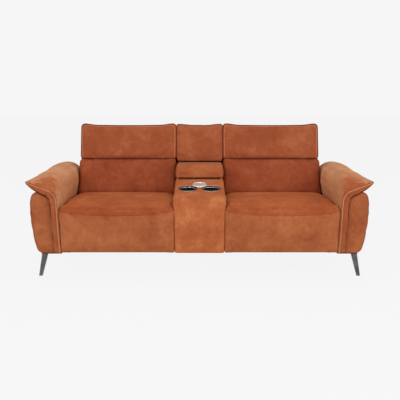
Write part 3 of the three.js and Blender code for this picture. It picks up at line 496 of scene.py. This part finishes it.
def refit(obj, room, frame_turn):
    """Stretches a smoothed form back to the room that it started with."""
    points = local_points(obj, frame_turn)
    low, high = corners(points)
    for v, point in zip(obj.data.vertices, points):
        share = [(point[i] - low[i]) / (high[i] - low[i]) for i in range(3)]
        v.co = frame_turn @ Vector([room[0][i] + share[i] * (room[1][i] - room[0][i]) for i in range(3)])


def reshape(obj, shape, frame_turn):
    """Moves every point by a rule that is given in millimetres."""
    for v, point in zip(obj.data.vertices, local_points(obj, frame_turn)):
        v.co = frame_turn @ (Vector(shape(*(point * 1000))) / 1000)


def crisp(value, low, high, power):
    """Pushes a measure out towards both ends of its range, which makes the edges there crisper."""
    half = (high - low) / 2
    share = (value - low - half) / half
    return low + half + half * math.copysign(1 - max(0, 1 - abs(share)) ** power, share)


def cut_above(obj, height):
    """Takes away what lies above a height and closes the cut."""
    bm = opened(obj.data)
    geometry = bm.verts[:] + bm.edges[:] + bm.faces[:]
    bmesh.ops.bisect_plane(bm, geom=geometry, plane_co=at(0, 0, height), plane_no=(0, 0, 1),
                           clear_outer=True)
    bmesh.ops.holes_fill(bm, edges=[e for e in bm.edges if e.is_boundary])
    stored(bm, obj.data)


def stuffed(name, node, material, body, frame_turn=upright, voxel=0.008, seams=(), rounds=8, plump=0.0,
            cap=0.0, pucker=0.0, shape=None, top=None):
    """A stuffed piece in the room of its CAD node: remeshed, filled by a cloth run, puckered at seams.

    rounds is how often it is smoothed. plump is how far it is drawn in before the cloth run, and cap how
    far the run may press it out, both in metres. Without plump there is no run. shape is a rule that moves
    its points, and top the height in millimetres above which it is cut off.
    """
    obj = new_object(name, copy_of(node), material)
    if top is not None:
        cut_above(obj, top)
    room = corners(local_points(obj, frame_turn))
    remesh = obj.modifiers.new("skin", "REMESH")
    remesh.mode = "VOXEL"
    remesh.voxel_size = voxel
    settled(obj)
    held = line_tree(seams) if seams else None
    soften(obj, rounds, held, voxel)
    if plump:
        fade = 0.02
        normals = [v.normal.copy() for v in obj.data.vertices]
        for v, normal in zip(obj.data.vertices, normals):
            distance = held.find(v.co)[2] if held else 1
            v.co -= normal * plump * min(1, distance / fade)
        puff(obj, held, voxel * 2, cap)
        soften(obj, 2, held, voxel)
    divide = obj.modifiers.new("fine", "SUBSURF")
    divide.levels = divide.render_levels = 1
    settled(obj)
    refit(obj, room, frame_turn)
    if held and pucker:
        gather(obj, held, pucker)
    if shape is not None:
        reshape(obj, shape, frame_turn)
    shade_smooth(obj.data)
    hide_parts(node)
    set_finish(obj, "burnt_orange_fabric")
    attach(obj, body)
    return obj


def mirrored(obj, name, node, body):
    """The same piece on the left side."""
    bm = opened(obj.data)
    bmesh.ops.scale(bm, vec=(-1, 1, 1), verts=bm.verts)
    bmesh.ops.reverse_faces(bm, faces=bm.faces)
    copy = new_object(name, stored(bm, obj.data.copy()), obj.data.materials[0])
    if node:
        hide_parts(node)
    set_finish(copy, obj["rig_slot"])
    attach(copy, body)
    return copy


def cord(name, line, radius, material, body, on=None):
    """Welt cord along a line, laid on a piece's surface if one is given."""
    curve = bpy.data.curves.new(name, "CURVE")
    curve.dimensions = "3D"
    curve.bevel_depth = radius
    curve.bevel_resolution = 3
    curve.use_fill_caps = True
    points = even(line, 0.008)
    if on is not None:
        bm = opened(on.data)
        surface = BVHTree.FromBMesh(bm)
        bm.free()
        points = relaxed([laid(surface, point, radius) for point in points], 3)
    spline = curve.splines.new("POLY")
    spline.points.add(len(points) - 1)
    for target, point in zip(spline.points, points):
        target.co = (*point, 1)
    obj = in_scene(name, curve)
    graph = bpy.context.evaluated_depsgraph_get()
    mesh = bpy.data.meshes.new_from_object(obj.evaluated_get(graph))
    bpy.data.objects.remove(obj)
    piece = new_object(name, mesh, material)
    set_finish(piece, "burnt_orange_fabric")
    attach(piece, body)
    return piece


def laid(surface, point, radius):
    """The place of a cord that is sunk into a surface by about two thirds of its radius."""
    place, normal, _, _ = surface.find_nearest(point)
    return place + normal * radius * 0.35


def relaxed(points, rounds):
    """A line with its kinks evened out."""
    for _ in range(rounds):
        inner = [(a + b * 2 + c) / 4 for a, b, c in zip(points, points[1:], points[2:])]
        points = [points[0], *inner, points[-1]]
    return points


def even(line, step):
    """The line's points at even steps, on a smooth curve through them."""
    points = [line[0]]
    for i in range(len(line) - 1):
        a = line[max(i - 1, 0)]
        b, c = line[i], line[i + 1]
        d = line[min(i + 2, len(line) - 1)]
        count = max(1, round((c - b).length / step))
        for k in range(1, count + 1):
            t = k / count
            points.append(0.5 * ((2 * b) + (c - a) * t + (2 * a - 5 * b + 4 * c - d) * t * t
                                 + (3 * b - a - 3 * c + d) * t ** 3))
    return points


# Seam lines, in millimetres
seat_middle = 504
seat_half = 347
seat_ends = (157, 851)
panel_ends = (159, 849)
edge_power = 2.2
lip_radius = 28
corner_radius = 30
seat_seam = 414
panel_top = 400
panel_foot = 172
arm_top = 601.7


def seam_rise(x):
    """How far the solids' seam between a seat and its front panel has risen above its middle."""
    share = (x - seat_middle) / seat_half
    return share * share * (20 if share < 0 else 12)


def seam_height(x):
    """The height of the stitched seam between a seat and its front panel."""
    share = (x - seat_middle) / seat_half
    return 402 + share * share * (36 if share < 0 else 30)


def squared(distance, radius, power):
    """Draws a rounded edge out towards the square corner that it was rounded from."""
    if distance <= 0 or distance >= radius:
        return distance
    return radius * (distance / radius) ** power


def arm_lean(z):
    """How far the edge between the arm's front and the panel leans towards the seat near the floor."""
    fall = min(1, max(0, (424 - z) / 245))
    return 9 * fall ** 1.5


def drawn_in(x, z):
    """The same lean, fading out across the panel and across the arm's front."""
    return arm_lean(z) * ease(x, 640, 800) * (1 - ease(x, 905, 1000))


def rounded(centre, radius, start, end, count=6):
    """Points on an arc, by angle in degrees."""
    angles = [math.radians(start + (end - start) * i / count) for i in range(count + 1)]
    return [(centre[0] + radius * math.cos(a), centre[1] + radius * math.sin(a)) for a in angles]


def dipped(line, ends, above, depth, sag):
    """A flat line laid in the backs' leaning frame. What lies above a height dips between the ends."""
    middle = (ends[0] + ends[1]) / 2
    half = (ends[1] - ends[0]) / 2
    laid_line = []
    for x, z in line:
        dip = sag * (((x - middle) / half) ** 2 - 1) if z > above else 0
        laid_line.append(leaning(x, depth, z + dip))
    return laid_line


def front_loop(x, z, depth, radius, sag):
    """A line round a back pad's front face, with rounded corners."""
    low_x, high_x = x
    low_z, high_z = z
    left, right, bottom, top = low_x + radius, high_x - radius, low_z + radius, high_z - radius
    line = []
    turns = [((right, bottom), -90), ((right, top), 0), ((left, top), 90), ((left, bottom), 180)]
    for centre, start in turns:
        line += rounded(centre, radius, start, start + 90)
    line.append(line[0])
    return dipped(line, x, (low_z + high_z) / 2, depth, sag)


def rim_line(x, z, depth, radius, sag):
    """A line up one side of a back pad, over its top and down the other side."""
    low_x, high_x = x
    low_z, high_z = z
    top = high_z - radius
    right_corner = rounded((high_x - radius, top), radius, 0, 90)
    left_corner = rounded((low_x + radius, top), radius, 90, 180)
    return dipped([(high_x, low_z), *right_corner, *left_corner, (low_x, low_z)], x, top, depth, sag)


# Seats
def seat_shape(x, y, z):
    """Lowers the front lip onto the stitched seam, squares its edge and rounds the seat off to its ends."""
    low_end, high_end = seat_ends
    solid = seat_seam + seam_rise(x)
    above = z - solid
    gap = (solid + 1 - seam_height(x)) * (1 - ease(above, 0, 60))
    lower = (1 - ease(y, 30, 80)) * (above - squared(above, lip_radius, edge_power) + gap)
    near = 1 - ease(above, 18, 45)
    forward = near * (y + 3 - squared(y + 3, corner_radius, edge_power))
    share = (x - seat_middle) / seat_half
    end = 1 - ease(min(x - low_end, high_end - x), 0, 140)
    fall = (24 if share < 0 else 15) * end * end
    slump = (fall - 4 * (1 - share * share)) * ease(y, 230, 540) * ease(z, 360, 440)
    full = 0.45 * end * (1 - ease(y, 40, 120)) * ease(z, 430, 450)
    soft = 24 * (1 - end) * (1 - ease(y, -10, 190)) * ease(z, 410, 462)
    across = crisp(x, low_end, high_end, 1.4)
    return across, y - forward - full * (y + 2), z - lower - slump - soft + full * (466 - z)


def panel_shape(x, y, z):
    """Lifts the top edge to the stitched seam, squares it and draws the outer side in near the floor."""
    low_end, high_end = panel_ends
    solid = panel_top + 0.1 * seam_rise(x)
    below = solid - z
    up = z - panel_foot
    front = 1 - ease(y, 30, 60)
    gap = (seam_height(x) + 1 - solid) * ease(z, 250, 396)
    lift = front * (below - squared(below, lip_radius, edge_power)) + gap
    near = 1 - ease(below, 18, 45)
    side = 1 - ease(min(x - low_end, high_end - x), 14, 40)
    forward = max(near, side) * (y + 3 - squared(y + 3, corner_radius, edge_power))
    wide = seat_middle + (crisp(x, low_end, high_end, 1.4) - seat_middle) * 350 / 345
    bottom = front * (up - squared(up, 24, 2)) + 4.5 * (1 - ease(z, panel_foot, 215))
    return wide - drawn_in(wide, z), y - forward, z + lift - bottom


seat_line = [at(x, 8, seat_seam + seam_rise(x)) for x in range(166, 839, 28)]
seat_cushion = stuffed("right_seat_cushion_pad", "right_seat_cushion", seat_fabric, "root",
                       seams=[seat_line], plump=0.003, cap=0.010, pucker=0.0008,
                       shape=seat_shape)
mirrored(seat_cushion, "left_seat_cushion_pad", "left_seat_cushion", "root")

front_panel = stuffed("right_front_panel_pad", "right_footrest_pad", panel_fabric, "right_footrest",
                      plump=0.002, cap=0.008, shape=panel_shape)
mirrored(front_panel, "left_front_panel_pad", "left_footrest_pad", "left_footrest")


# Backs, with the ends of their pads from side to side and from foot to top
back_inner = 163.5
lumbar_outer = 841
lumbar_ends = (136, 371)
headrest_outer = 826
headrest_ends = (379, 627)


def lumbar_shape(x, y, z):
    """Closes the seams above and below, and keeps the edges crisp."""
    foot, top = lumbar_ends
    lift = 15.2 * ease(z, 300, top) - 5 * (1 - ease(z, foot, 190))
    wide = 7 * ease(x, 760, lumbar_outer) * (1 - ease(z, 150, 240))
    return crisp(x, back_inner, lumbar_outer, 1.35) + wide, y, crisp(z, foot, top, 1.5) + lift


def headrest_shape(x, y, z):
    """Lifts the foot and the top a little, and keeps the edges crisp."""
    foot, top = headrest_ends
    tall = crisp(z, foot, top, 1.5) + 6.5 * (1 - ease(z, foot, 430)) + 5 * ease(z, 560, top)
    return crisp(x, back_inner, headrest_outer, 1.5), y, tall


lumbar = stuffed("right_lumbar_pad", "right_lumbar_cushion", shaded_fabric, "right_back", lean_turn,
                 plump=0.003, cap=0.010, shape=lumbar_shape)
left_lumbar = mirrored(lumbar, "left_lumbar_pad", "left_lumbar_cushion", "left_back")
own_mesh(lumbar)
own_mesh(left_lumbar)

headrest_front = front_loop((168, 821), (385, 622), depth=-47, radius=20, sag=9)
headrest = stuffed("right_headrest_pad", "right_headrest_cushion", back_fabric, "right_headrest", lean_turn,
                   voxel=0.007, seams=[headrest_front], plump=0.004, cap=0.014, pucker=0.0006,
                   shape=headrest_shape)
mirrored(headrest, "left_headrest_pad", "left_headrest_cushion", "left_headrest")
# A dark cord round the silhouette edge, as painted shade of the welt and boxing there.
headrest_rim = rim_line((165, 824.5), (395, 630), depth=-34, radius=22, sag=9)
headrest_shaded_welt = cord("right_headrest_shaded_welt", headrest_rim, 0.0042, shaded_welt_fabric, "right_headrest", headrest)
mirrored(headrest_shaded_welt, "left_headrest_shaded_welt", None, "left_headrest")
# Inside it a paler cord, as painted highlight of the front's lit roll by the seam.
headrest_edge = rim_line((171, 818), (392, 621), depth=-50, radius=18, sag=9)
headrest_lit_roll = cord("right_headrest_lit_roll", headrest_edge, 0.0026, lit_cord_fabric, "right_headrest", headrest)
mirrored(headrest_lit_roll, "left_headrest_lit_roll", None, "left_headrest")


def back_cover_shape(x, y, z):
    """Squares the rear cover of a back off at its sides."""
    return crisp(x, back_inner, 842, 1.6), y, z


def console_cover_shape(x, y, z):
    """Squares the rear cover of the console off at its sides."""
    return crisp(x, -162.6, 162.6, 1.6), y, z


def back_apron(name, body):
    """The cloth under a back that closes the slot behind the seat, with shallow upright folds. Its dark
    lining colour is painted shade for the slot.
    """
    width, height, top = 688, 83, 133
    bm = bmesh.new()
    bmesh.ops.create_grid(bm, x_segments=80, y_segments=12, size=0.5)
    for v in bm.verts:
        x = seat_middle + v.co.x * width
        share = 0.5 - v.co.y
        fold = 0.7 * math.sin(x / 31) + 0.5 * math.sin(x / 11.3)
        v.co = leaning(x, -14.5 - fold * share, top - height * share)
    bmesh.ops.solidify(bm, geom=bm.verts[:] + bm.edges[:] + bm.faces[:], thickness=0.0016)
    bmesh.ops.recalc_face_normals(bm, faces=bm.faces)
    obj = new_object(name, stored(bm, bpy.data.meshes.new(name)), lining)
    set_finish(obj, "burnt_orange_fabric")
    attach(obj, body)
    return obj


back_cover = stuffed("right_back_cover_skin", "right_back_cover", back_fabric, "right_back", lean_turn,
                     voxel=0.012, rounds=4, shape=back_cover_shape)
mirrored(back_cover, "left_back_cover_skin", "left_back_cover", "left_back")
mirrored(back_apron("right_back_apron", "right_back"), "left_back_apron", None, "left_back")


# Arms, with the places of their pads and bodies
arm_front = 20
arm_tip = 1054
pad_inner = 854
pad_foot = 470
pad_width = 200
pad_height = 198
fall_start = 600
body_foot = 160.5


def band_foot(x):
    """The height of the gusset band's lower edge out to the arm's tip, in millimetres."""
    marks = [(940, 526), (956, 533), (986, 549), (1014, 568), (1036, 590), (1060, 602)]
    for (low_x, low_z), (high_x, high_z) in zip(marks, marks[1:]):
        if low_x <= x <= high_x:
            return low_z + (high_z - low_z) * (x - low_x) / (high_x - low_x)
    return 0


def arm_pad_shape(x, y, z):
    """Brings the nose forward, swells the inner side over the seat, and shapes the tip and the rear end."""
    rear = ease(y, 770, 860)
    high = ease(z, 560, 640)
    inner = 1 - ease(x, 858, 930)
    length = ease(y, 18, 210) * (1 - 0.75 * ease(y, 520, 640))
    swell = 30 * ease(z, 446, 540) * (1 - ease(z, 575, 672)) * length
    along = ease(y, 30, 90) * (1 - ease(y, 590, 680))
    down = 26 * (1 - ease(z, 470, 530)) * (1 - ease(x, 880, 960)) * along
    tip = 7 * ease(x, 990, arm_tip) * (1 - ease(y, 60, 300))
    middle = ease(x, 890, 965) * (1 - ease(x, 1005, arm_tip))
    hollow = 15 * middle * ease(z, 590, 625) * (1 - ease(y, 260, 480))
    across = x - swell * inner - 12 * rear * ease(x, 960, 1030) - tip
    under = max(0, band_foot(x) - z) * (1 - ease(y, 40, 130)) * ease(x, 945, 970)
    forward = 19 * (1 - ease(y, arm_front, 130))
    return across, y - forward, z - 14 * rear * rear * high - down - hollow + under


def pod_shape(x, y, z):
    """Squares the front edges, draws the inner side in near the floor and lowers the inner top edge."""
    down = 26 * ease(z, 380, 470) * (1 - ease(x, 880, 960)) * ease(y, 30, 90)
    wide = 13 * ease(x, 930, 1010) * (1 - ease(y, 40, 260))
    up = z - body_foot
    low = up - squared(up, 48, 1.5)
    return x - drawn_in(x, z) + wide, arm_front + squared(y - arm_front, 75, 1.3), z - down - low


# Where the outline of the gusset band lies on the solid, and where the stitched strip has it
gusset_moves = [
    ((855, 167), (852, 169)), ((855, 300), (859, 300)), ((855, 468), (864, 474)), ((873, 494), (866, 500)),
    ((896, 522), (880, 531)), ((919, 551), (905, 546)), ((956, 566), (957, 566)), ((994, 581), (990, 579)),
    ((1051, 601), (1045, 603)), ((1031, 572), (1031, 585)), ((1012, 543), (1014, 568)),
    ((1000, 542), (1002, 558)), ((983, 540), (985, 547)), ((954, 537), (956, 533)), ((912, 515), (916, 510)),
    ((899, 494), (906, 487)), ((898, 391), (899, 391)), ((896, 280), (890, 275)), ((894, 167), (888, 171)),
]


def gusset_shape(x, y, z):
    """Moves the band's outline onto the stitched strip, each point most by the moves nearest to it."""
    total = across = upward = 0
    for (from_x, from_z), (to_x, to_z) in gusset_moves:
        weight = 1 / (math.hypot(x - from_x, z - from_z) + 1) ** 3
        total += weight
        across += weight * (to_x - from_x)
        upward += weight * (to_z - from_z)
    return x + across / total, y - 2.5, z + upward / total


def strip_shape(x, y, z):
    """Narrows the band to the strip between the welt cord and the seat."""
    return 856 - arm_lean(z) + (x - 855) * 14 / 44, y + 1, z


def rear_edge(y):
    """The height of the arm pad's lower edge on its outer side, where it falls towards the rear."""
    return arm_top - 8 * ((y - fall_start) / 260) ** 2


pad_corner_shares = [(0.01, 0.01), (0.02, 0.1), (0.045, 0.22), (0.08, 0.35), (0.16, 0.42), (0.34, 0.44),
                     (0.54, 0.52), (0.75, 0.6), (0.92, 0.65), (1, 0.665)]
pad_front = [at(pad_inner + pad_width * a, arm_front, pad_foot + pad_height * b)
             for a, b in pad_corner_shares]
edge_shares = [i / 8 for i in range(9)]
edge_length = fall_start - arm_front
edge_turn = 26
pad_edge = [at(arm_tip - edge_turn * s * s * (3 - 2 * s), arm_front + edge_length * s, arm_top)
            for s in edge_shares]
pad_edge += [at(arm_tip - edge_turn, y, rear_edge(y)) for y in (660, 720, 780, 830)]
arm_pad = stuffed("right_arm_pad_top", "right_arm_pad", arm_fabric, "root", voxel=0.007,
                  seams=[pad_front, pad_edge], plump=0.003, cap=0.009, pucker=0.0022,
                  shape=arm_pad_shape)
mirrored(arm_pad, "left_arm_pad_top", "left_arm_pad", "root")

arm_body = stuffed("right_arm_body_skin", "right_arm_body", panel_fabric, "root", rounds=14,
                   plump=0.002, cap=0.006, shape=pod_shape)
mirrored(arm_body, "left_arm_body_skin", "left_arm_body", "root")

# The gusset bands take the darker back copy of the nubuck as painted shade.
gusset = stuffed("right_arm_gusset", "right_arm_front_band", back_fabric, "root", voxel=0.004, rounds=4,
                 shape=gusset_shape)
mirrored(gusset, "left_arm_gusset", "left_arm_front_band", "root")
strip = stuffed("right_arm_inner_strip", "right_arm_front_band", arm_fabric, "root", voxel=0.004, rounds=4,
                shape=strip_shape, top=494)
mirrored(strip, "left_arm_inner_strip", "left_arm_front_band", "root")

# The welt cord between the pad and the band, in the paler copy as painted highlight.
arm_welt_line = [at(*p) for p in (
    (852, -7, 172), (858, -8, 270), (861, -8, 337), (864, -8, 424), (866, -8, 478), (868, -8, 495),
    (874, -8, 515), (882, -8, 530), (893, -8, 541.5), (909, -8, 549), (958, -7, 568), (990, -7, 579),
    (1024, -5, 593), (1045, -2, 602.5), (1047, 12, 603), (1047, 60, 603))]
arm_welt_line += [point + Vector((-0.003, 0, 0)) for point in pad_edge[2:9]]
arm_welt_line += [at(*arm_pad_shape(1025.5, y, rear_edge(y))) for y in (660, 720, 770, 810)]
arm_welt = cord("right_arm_welt", arm_welt_line, 0.0037, lit_cord_fabric, "root")
mirrored(arm_welt, "left_arm_welt", None, "root")
# A dark cord along the gusset band's outer edge, as painted shadow in the seam there.
arm_shadow_line = [at(*p) for p in (
    (890.5, 12, 172), (893, 12, 275), (902, 12, 391), (909, 12, 484), (918, 11, 506), (956, 10, 529),
    (988, 9, 548), (1016, 7, 569), (1040, 5, 592), (1046, 4, 600))]
arm_shadow_cord = cord("right_arm_shadow_cord", arm_shadow_line, 0.0034, shaded_welt_fabric, "root")
mirrored(arm_shadow_cord, "left_arm_shadow_cord", None, "root")


# Console, with half its width and its pads' ends from foot to top
console_half = 162
lid_ends = (581, 664)
drop_ends = (367, 628)


def lid_shape(x, y, z):
    """Makes the lid's cheeks fullest near their lower edge, and lowers its front edge over the shelf."""
    foot, top = lid_ends
    up = z - foot
    low = 11 * (1 - ease(z, foot, 612)) * (1 - ease(y, 452, 500))
    front = 1 - ease(y, 455, 480)
    across = crisp(x, -console_half, console_half, 1.35) * (1 - 0.045 * ease(z, 605, top))
    return across, y, crisp(z, foot, top, 1.3) - low - front * (up - squared(up, 16, 1.7))


def waterfall_shape(x, y, z):
    """Swells the cover above its knee and opens the holes to the full width of the cup holders."""
    solid_hole, hole, reach = 47, 59.5, 73
    rise, run = math.sin(top_slope), math.cos(top_slope)
    side = math.copysign(cup_side, x)
    along = (y - cups_at) * run + (z - shelf_height) * rise
    radius = math.hypot(x - side, along)
    if 40 < radius < reach:
        beyond = max(0, radius - solid_hole)
        wider = (hole + beyond * (reach - hole) / (reach - solid_hole)) / radius
        x = side + (x - side) * wider
        y += along * (wider - 1) * run
        z += along * (wider - 1) * rise
    wide = 1 + 0.03 * ease(z, 415, 460) * (1 - ease(y, 60, 160)) * (1 - ease(z, 500, 530))
    return x * wide, y, z - 6 * (1 - ease(z, 165, 230)) * (1 - ease(y, 60, 120))


def drop_shape(x, y, z):
    """Keeps the pad's edges crisp and dips its top between the corners."""
    foot, top = drop_ends
    near_top = ease(z, 540, top)
    dip = 5 * (1 - (x / console_half) ** 2) * near_top
    return crisp(x, -console_half, console_half, 1.3), y, crisp(z, foot, top, 1.35) + 2 * near_top - dip


stuffed("console_body_skin", "console_frame", console_fabric, "root", voxel=0.011, rounds=1)
stuffed("console_waterfall", "console_cover", console_fabric, "root", voxel=0.005,
        shape=waterfall_shape)
stuffed("console_lid_pad", "lid_pad", panel_fabric, "lid", voxel=0.005, plump=0.0015, cap=0.005,
        shape=lid_shape)
drop_front = front_loop((-158, 158), (373, 622), depth=-48, radius=18, sag=7)
drop_pad = stuffed("console_back_pad_top", "console_back_pad", back_fabric, "console_back", lean_turn,
                   voxel=0.006, seams=[drop_front], plump=0.003, cap=0.007, pucker=0.0006,
                   shape=drop_shape)
# A dark cord round the pad's silhouette edge, as painted shade of the welt there.
drop_rim = rim_line((-160.5, 160.5), (394, 629), depth=-36, radius=18, sag=7)
cord("console_back_shaded_welt", drop_rim, 0.0036, shaded_welt_fabric, "console_back", drop_pad)
stuffed("console_back_cover_skin", "console_back_cover", back_fabric, "root", lean_turn, voxel=0.012,
        rounds=4, shape=console_cover_shape)


# Round fittings on the console
def spun(name, node, slot, place, profile, material):
    """A turned piece: a profile of radius and height in millimetres, spun about its axis."""
    bm = bmesh.new()
    line = [bm.verts.new((radius / 1000, 0, height / 1000)) for radius, height in profile]
    edges = [bm.edges.new(pair) for pair in zip(line, line[1:])]
    bmesh.ops.spin(bm, geom=line + edges, cent=(0, 0, 0), axis=(0, 0, 1), angle=2 * math.pi, steps=96,
                   use_merge=True)
    bmesh.ops.remove_doubles(bm, verts=bm.verts, dist=1e-6)
    bmesh.ops.recalc_face_normals(bm, faces=bm.faces)
    bmesh.ops.transform(bm, matrix=place, verts=bm.verts)
    obj = new_object(name, stored(bm, bpy.data.meshes.new(name)), material)
    if node:
        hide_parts(node)
    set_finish(obj, slot)
    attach(obj, "root")


for side, x in (("left", -cup_side), ("right", cup_side)):
    place = on_top(x, cups_at)
    well = [(0, -66), *rounded((43, -62), 4, -90, 0), (47, -22), (58.4, -12), (58.4, 1.4), (57.2, 1.6),
            *rounded((54.5, -12), 2.4, 10, -30, 3), (44.5, -24), (42, -32), *rounded((36, -58), 5, 0, -90),
            (20, -63.4), (0, -63.4)]
    spun("cup_well_" + side, "cup_holder_" + side, "gloss_black_plastic", place, well, satin_black)
    rim = [(58.6, 0.4), (61, 0.4), *rounded((59.8, 1.8), 1.2, 0, 180), (58.6, 0.4)]
    spun("cup_rim_" + side, None, "gloss_black_plastic", place, rim, rim_metal)
    trim = [(57, -5.4), (56, -5.8), (55.6, -7.4), (56, -9), (57, -9.4), (57, -5.4)]
    spun("cup_trim_" + side, None, "bright_chrome", place, trim, bright_chrome)
disc = [(0, 0.4), (43.2, 0.4), (43.6, 1.6), (42.4, 2.6), (38, 3.4), (28, 4), (14, 4.3), (0, 4.4)]
spun("charging_disc", "charger_disc", "pearl_plastic", on_top(0, disc_at), disc, pearl_plastic)
ring = [(44, 0.4), (51.5, 0.4), *rounded((47.9, 1.6), 3.6, 0, 180), (44, 0.4)]
spun("charging_ring", "charger_ring", "bright_chrome", on_top(0, disc_at), ring, bright_chrome)


# Legs
def cast_leg(node):
    """The leg of the solid with its long edges eased."""
    mesh = copy_of(node)
    bm = opened(mesh)
    bmesh.ops.dissolve_limit(bm, angle_limit=math.radians(1), verts=bm.verts, edges=bm.edges)
    sharp = [e for e in bm.edges if len(e.link_faces) == 2 and e.calc_face_angle() > math.radians(20)]
    bmesh.ops.bevel(bm, geom=sharp, offset=0.0012, segments=2, profile=0.5, affect="EDGES", material=-1)
    obj = new_object(node + "_cast", stored(bm, mesh), leg_metal)
    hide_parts(node)
    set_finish(obj, "gunmetal_leg")
    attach(obj, "root")


for name in ("left_front_leg", "right_front_leg", "left_rear_leg", "right_rear_leg"):
    cast_leg(name)

# CAD nodes that show as they are
for name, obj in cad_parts.items():
    if obj.hide_render:
        continue
    if "rocker" in name:
        chosen = gloss_black
    elif "drive" in name or "switch_plate" in name:
        chosen = grey_plastic
    elif name == "storage_bin":
        chosen = bin_shade_brown
    # Frames seen through the gaps take the lining, darkened as painted shade.
    elif name.endswith(("arm_frame", "back_frame", "seat_deck")):
        chosen = lining
    elif name.endswith("board"):
        chosen = board_wood
    else:
        chosen = frame_steel
    obj.data.materials.clear()
    obj.data.materials.append(chosen)


# Studio
white = (1, 1, 1, 1)


def seen_directly(tree):
    """1 for what the camera sees straight, in a reflection or through something clear, and else 0."""
    path = add(tree, "ShaderNodeLightPath", (-600, 200))
    seen = maths(tree, "MAXIMUM", path.outputs["Is Camera Ray"], path.outputs["Is Glossy Ray"])
    return maths(tree, "MAXIMUM", seen, path.outputs["Is Transmission Ray"])


def studio_floor():
    """A pale floor that looks brighter than the light that it throws on the sofa."""
    bm = bmesh.new()
    bmesh.ops.create_grid(bm, x_segments=1, y_segments=1, size=30)
    mesh = stored(bm, bpy.data.meshes.new("floor"))
    material = bpy.data.materials.new("pale floor")
    material.use_nodes = True
    tree = material.node_tree
    tree.nodes.clear()
    seen = seen_directly(tree)
    glow = add(tree, "ShaderNodeEmission", (-200, 100))
    glow.inputs["Color"].default_value = white
    thrown_light, seen_light = 0.42, 0.885
    link(tree, remap(tree, seen, thrown_light, seen_light, (-400, 100)), glow.inputs["Strength"])
    matt = add(tree, "ShaderNodeBsdfDiffuse", (-200, -100))
    matt.inputs["Color"].default_value = (0.045, 0.045, 0.045, 1)
    both = add(tree, "ShaderNodeAddShader", (0, 0))
    link(tree, glow.outputs[0], both.inputs[0])
    link(tree, matt.outputs[0], both.inputs[1])
    end = add(tree, "ShaderNodeOutputMaterial", (200, 0))
    link(tree, both.outputs[0], end.inputs["Surface"])
    floor = in_scene("floor", mesh)
    mesh.materials.append(material)


def studio_world():
    """A pale surround that looks brighter than the light that it throws on the sofa."""
    world = bpy.data.worlds.new("studio")
    bpy.context.scene.world = world
    world.use_nodes = True
    tree = world.node_tree
    tree.nodes.clear()
    seen = seen_directly(tree)
    ambient = add(tree, "ShaderNodeBackground", (-200, 0))
    ambient.inputs["Color"].default_value = white
    ambient.inputs["Strength"].default_value = 0.45
    pale = add(tree, "ShaderNodeBackground", (-200, 200))
    pale.inputs["Color"].default_value = paint("F6F6F6")
    pale.inputs["Strength"].default_value = 1
    choose = add(tree, "ShaderNodeMixShader", (0, 100))
    link(tree, seen, choose.inputs["Fac"])
    link(tree, ambient.outputs[0], choose.inputs[1])
    link(tree, pale.outputs[0], choose.inputs[2])
    end = add(tree, "ShaderNodeOutputWorld", (200, 100))
    link(tree, choose.outputs[0], end.inputs["Surface"])


def area_light(name, place, aim, size, power):
    data = bpy.data.lights.new(name, "AREA")
    data.shape = "RECTANGLE"
    data.size, data.size_y = size
    data.energy = power
    lamp = in_scene(name, data)
    lamp.location = place
    lamp.rotation_euler = (Vector(aim) - Vector(place)).to_track_quat("-Z", "Y").to_euler()


def studio_camera():
    """The photo's camera, with its distance taken from the seat fronts."""
    distance, height, tilt = 4.0, 1.130, 9
    data = bpy.data.cameras.new("camera")
    data.sensor_fit = "HORIZONTAL"
    data.sensor_width = 36
    data.lens = 60.4
    data.clip_end = 100
    camera = in_scene("camera", data)
    camera.location = (0.003, seat_front - distance, height)
    camera.rotation_euler = (math.radians(90 - tilt), 0, 0)
    bpy.context.scene.camera = camera


studio_floor()
studio_world()
area_light("key", (-1.5, -4.6, 2.3), (0, 0, 0.45), (3.2, 2.2), 101)
area_light("fill", (2.6, -4.2, 1.7), (0, 0, 0.45), (2.8, 2.0), 84)
area_light("top", (0, 0.3, 3.4), (0, 0, 0.4), (3.4, 2.2), 22)
studio_camera()
bpy.context.scene.view_settings.view_transform = "Standard"
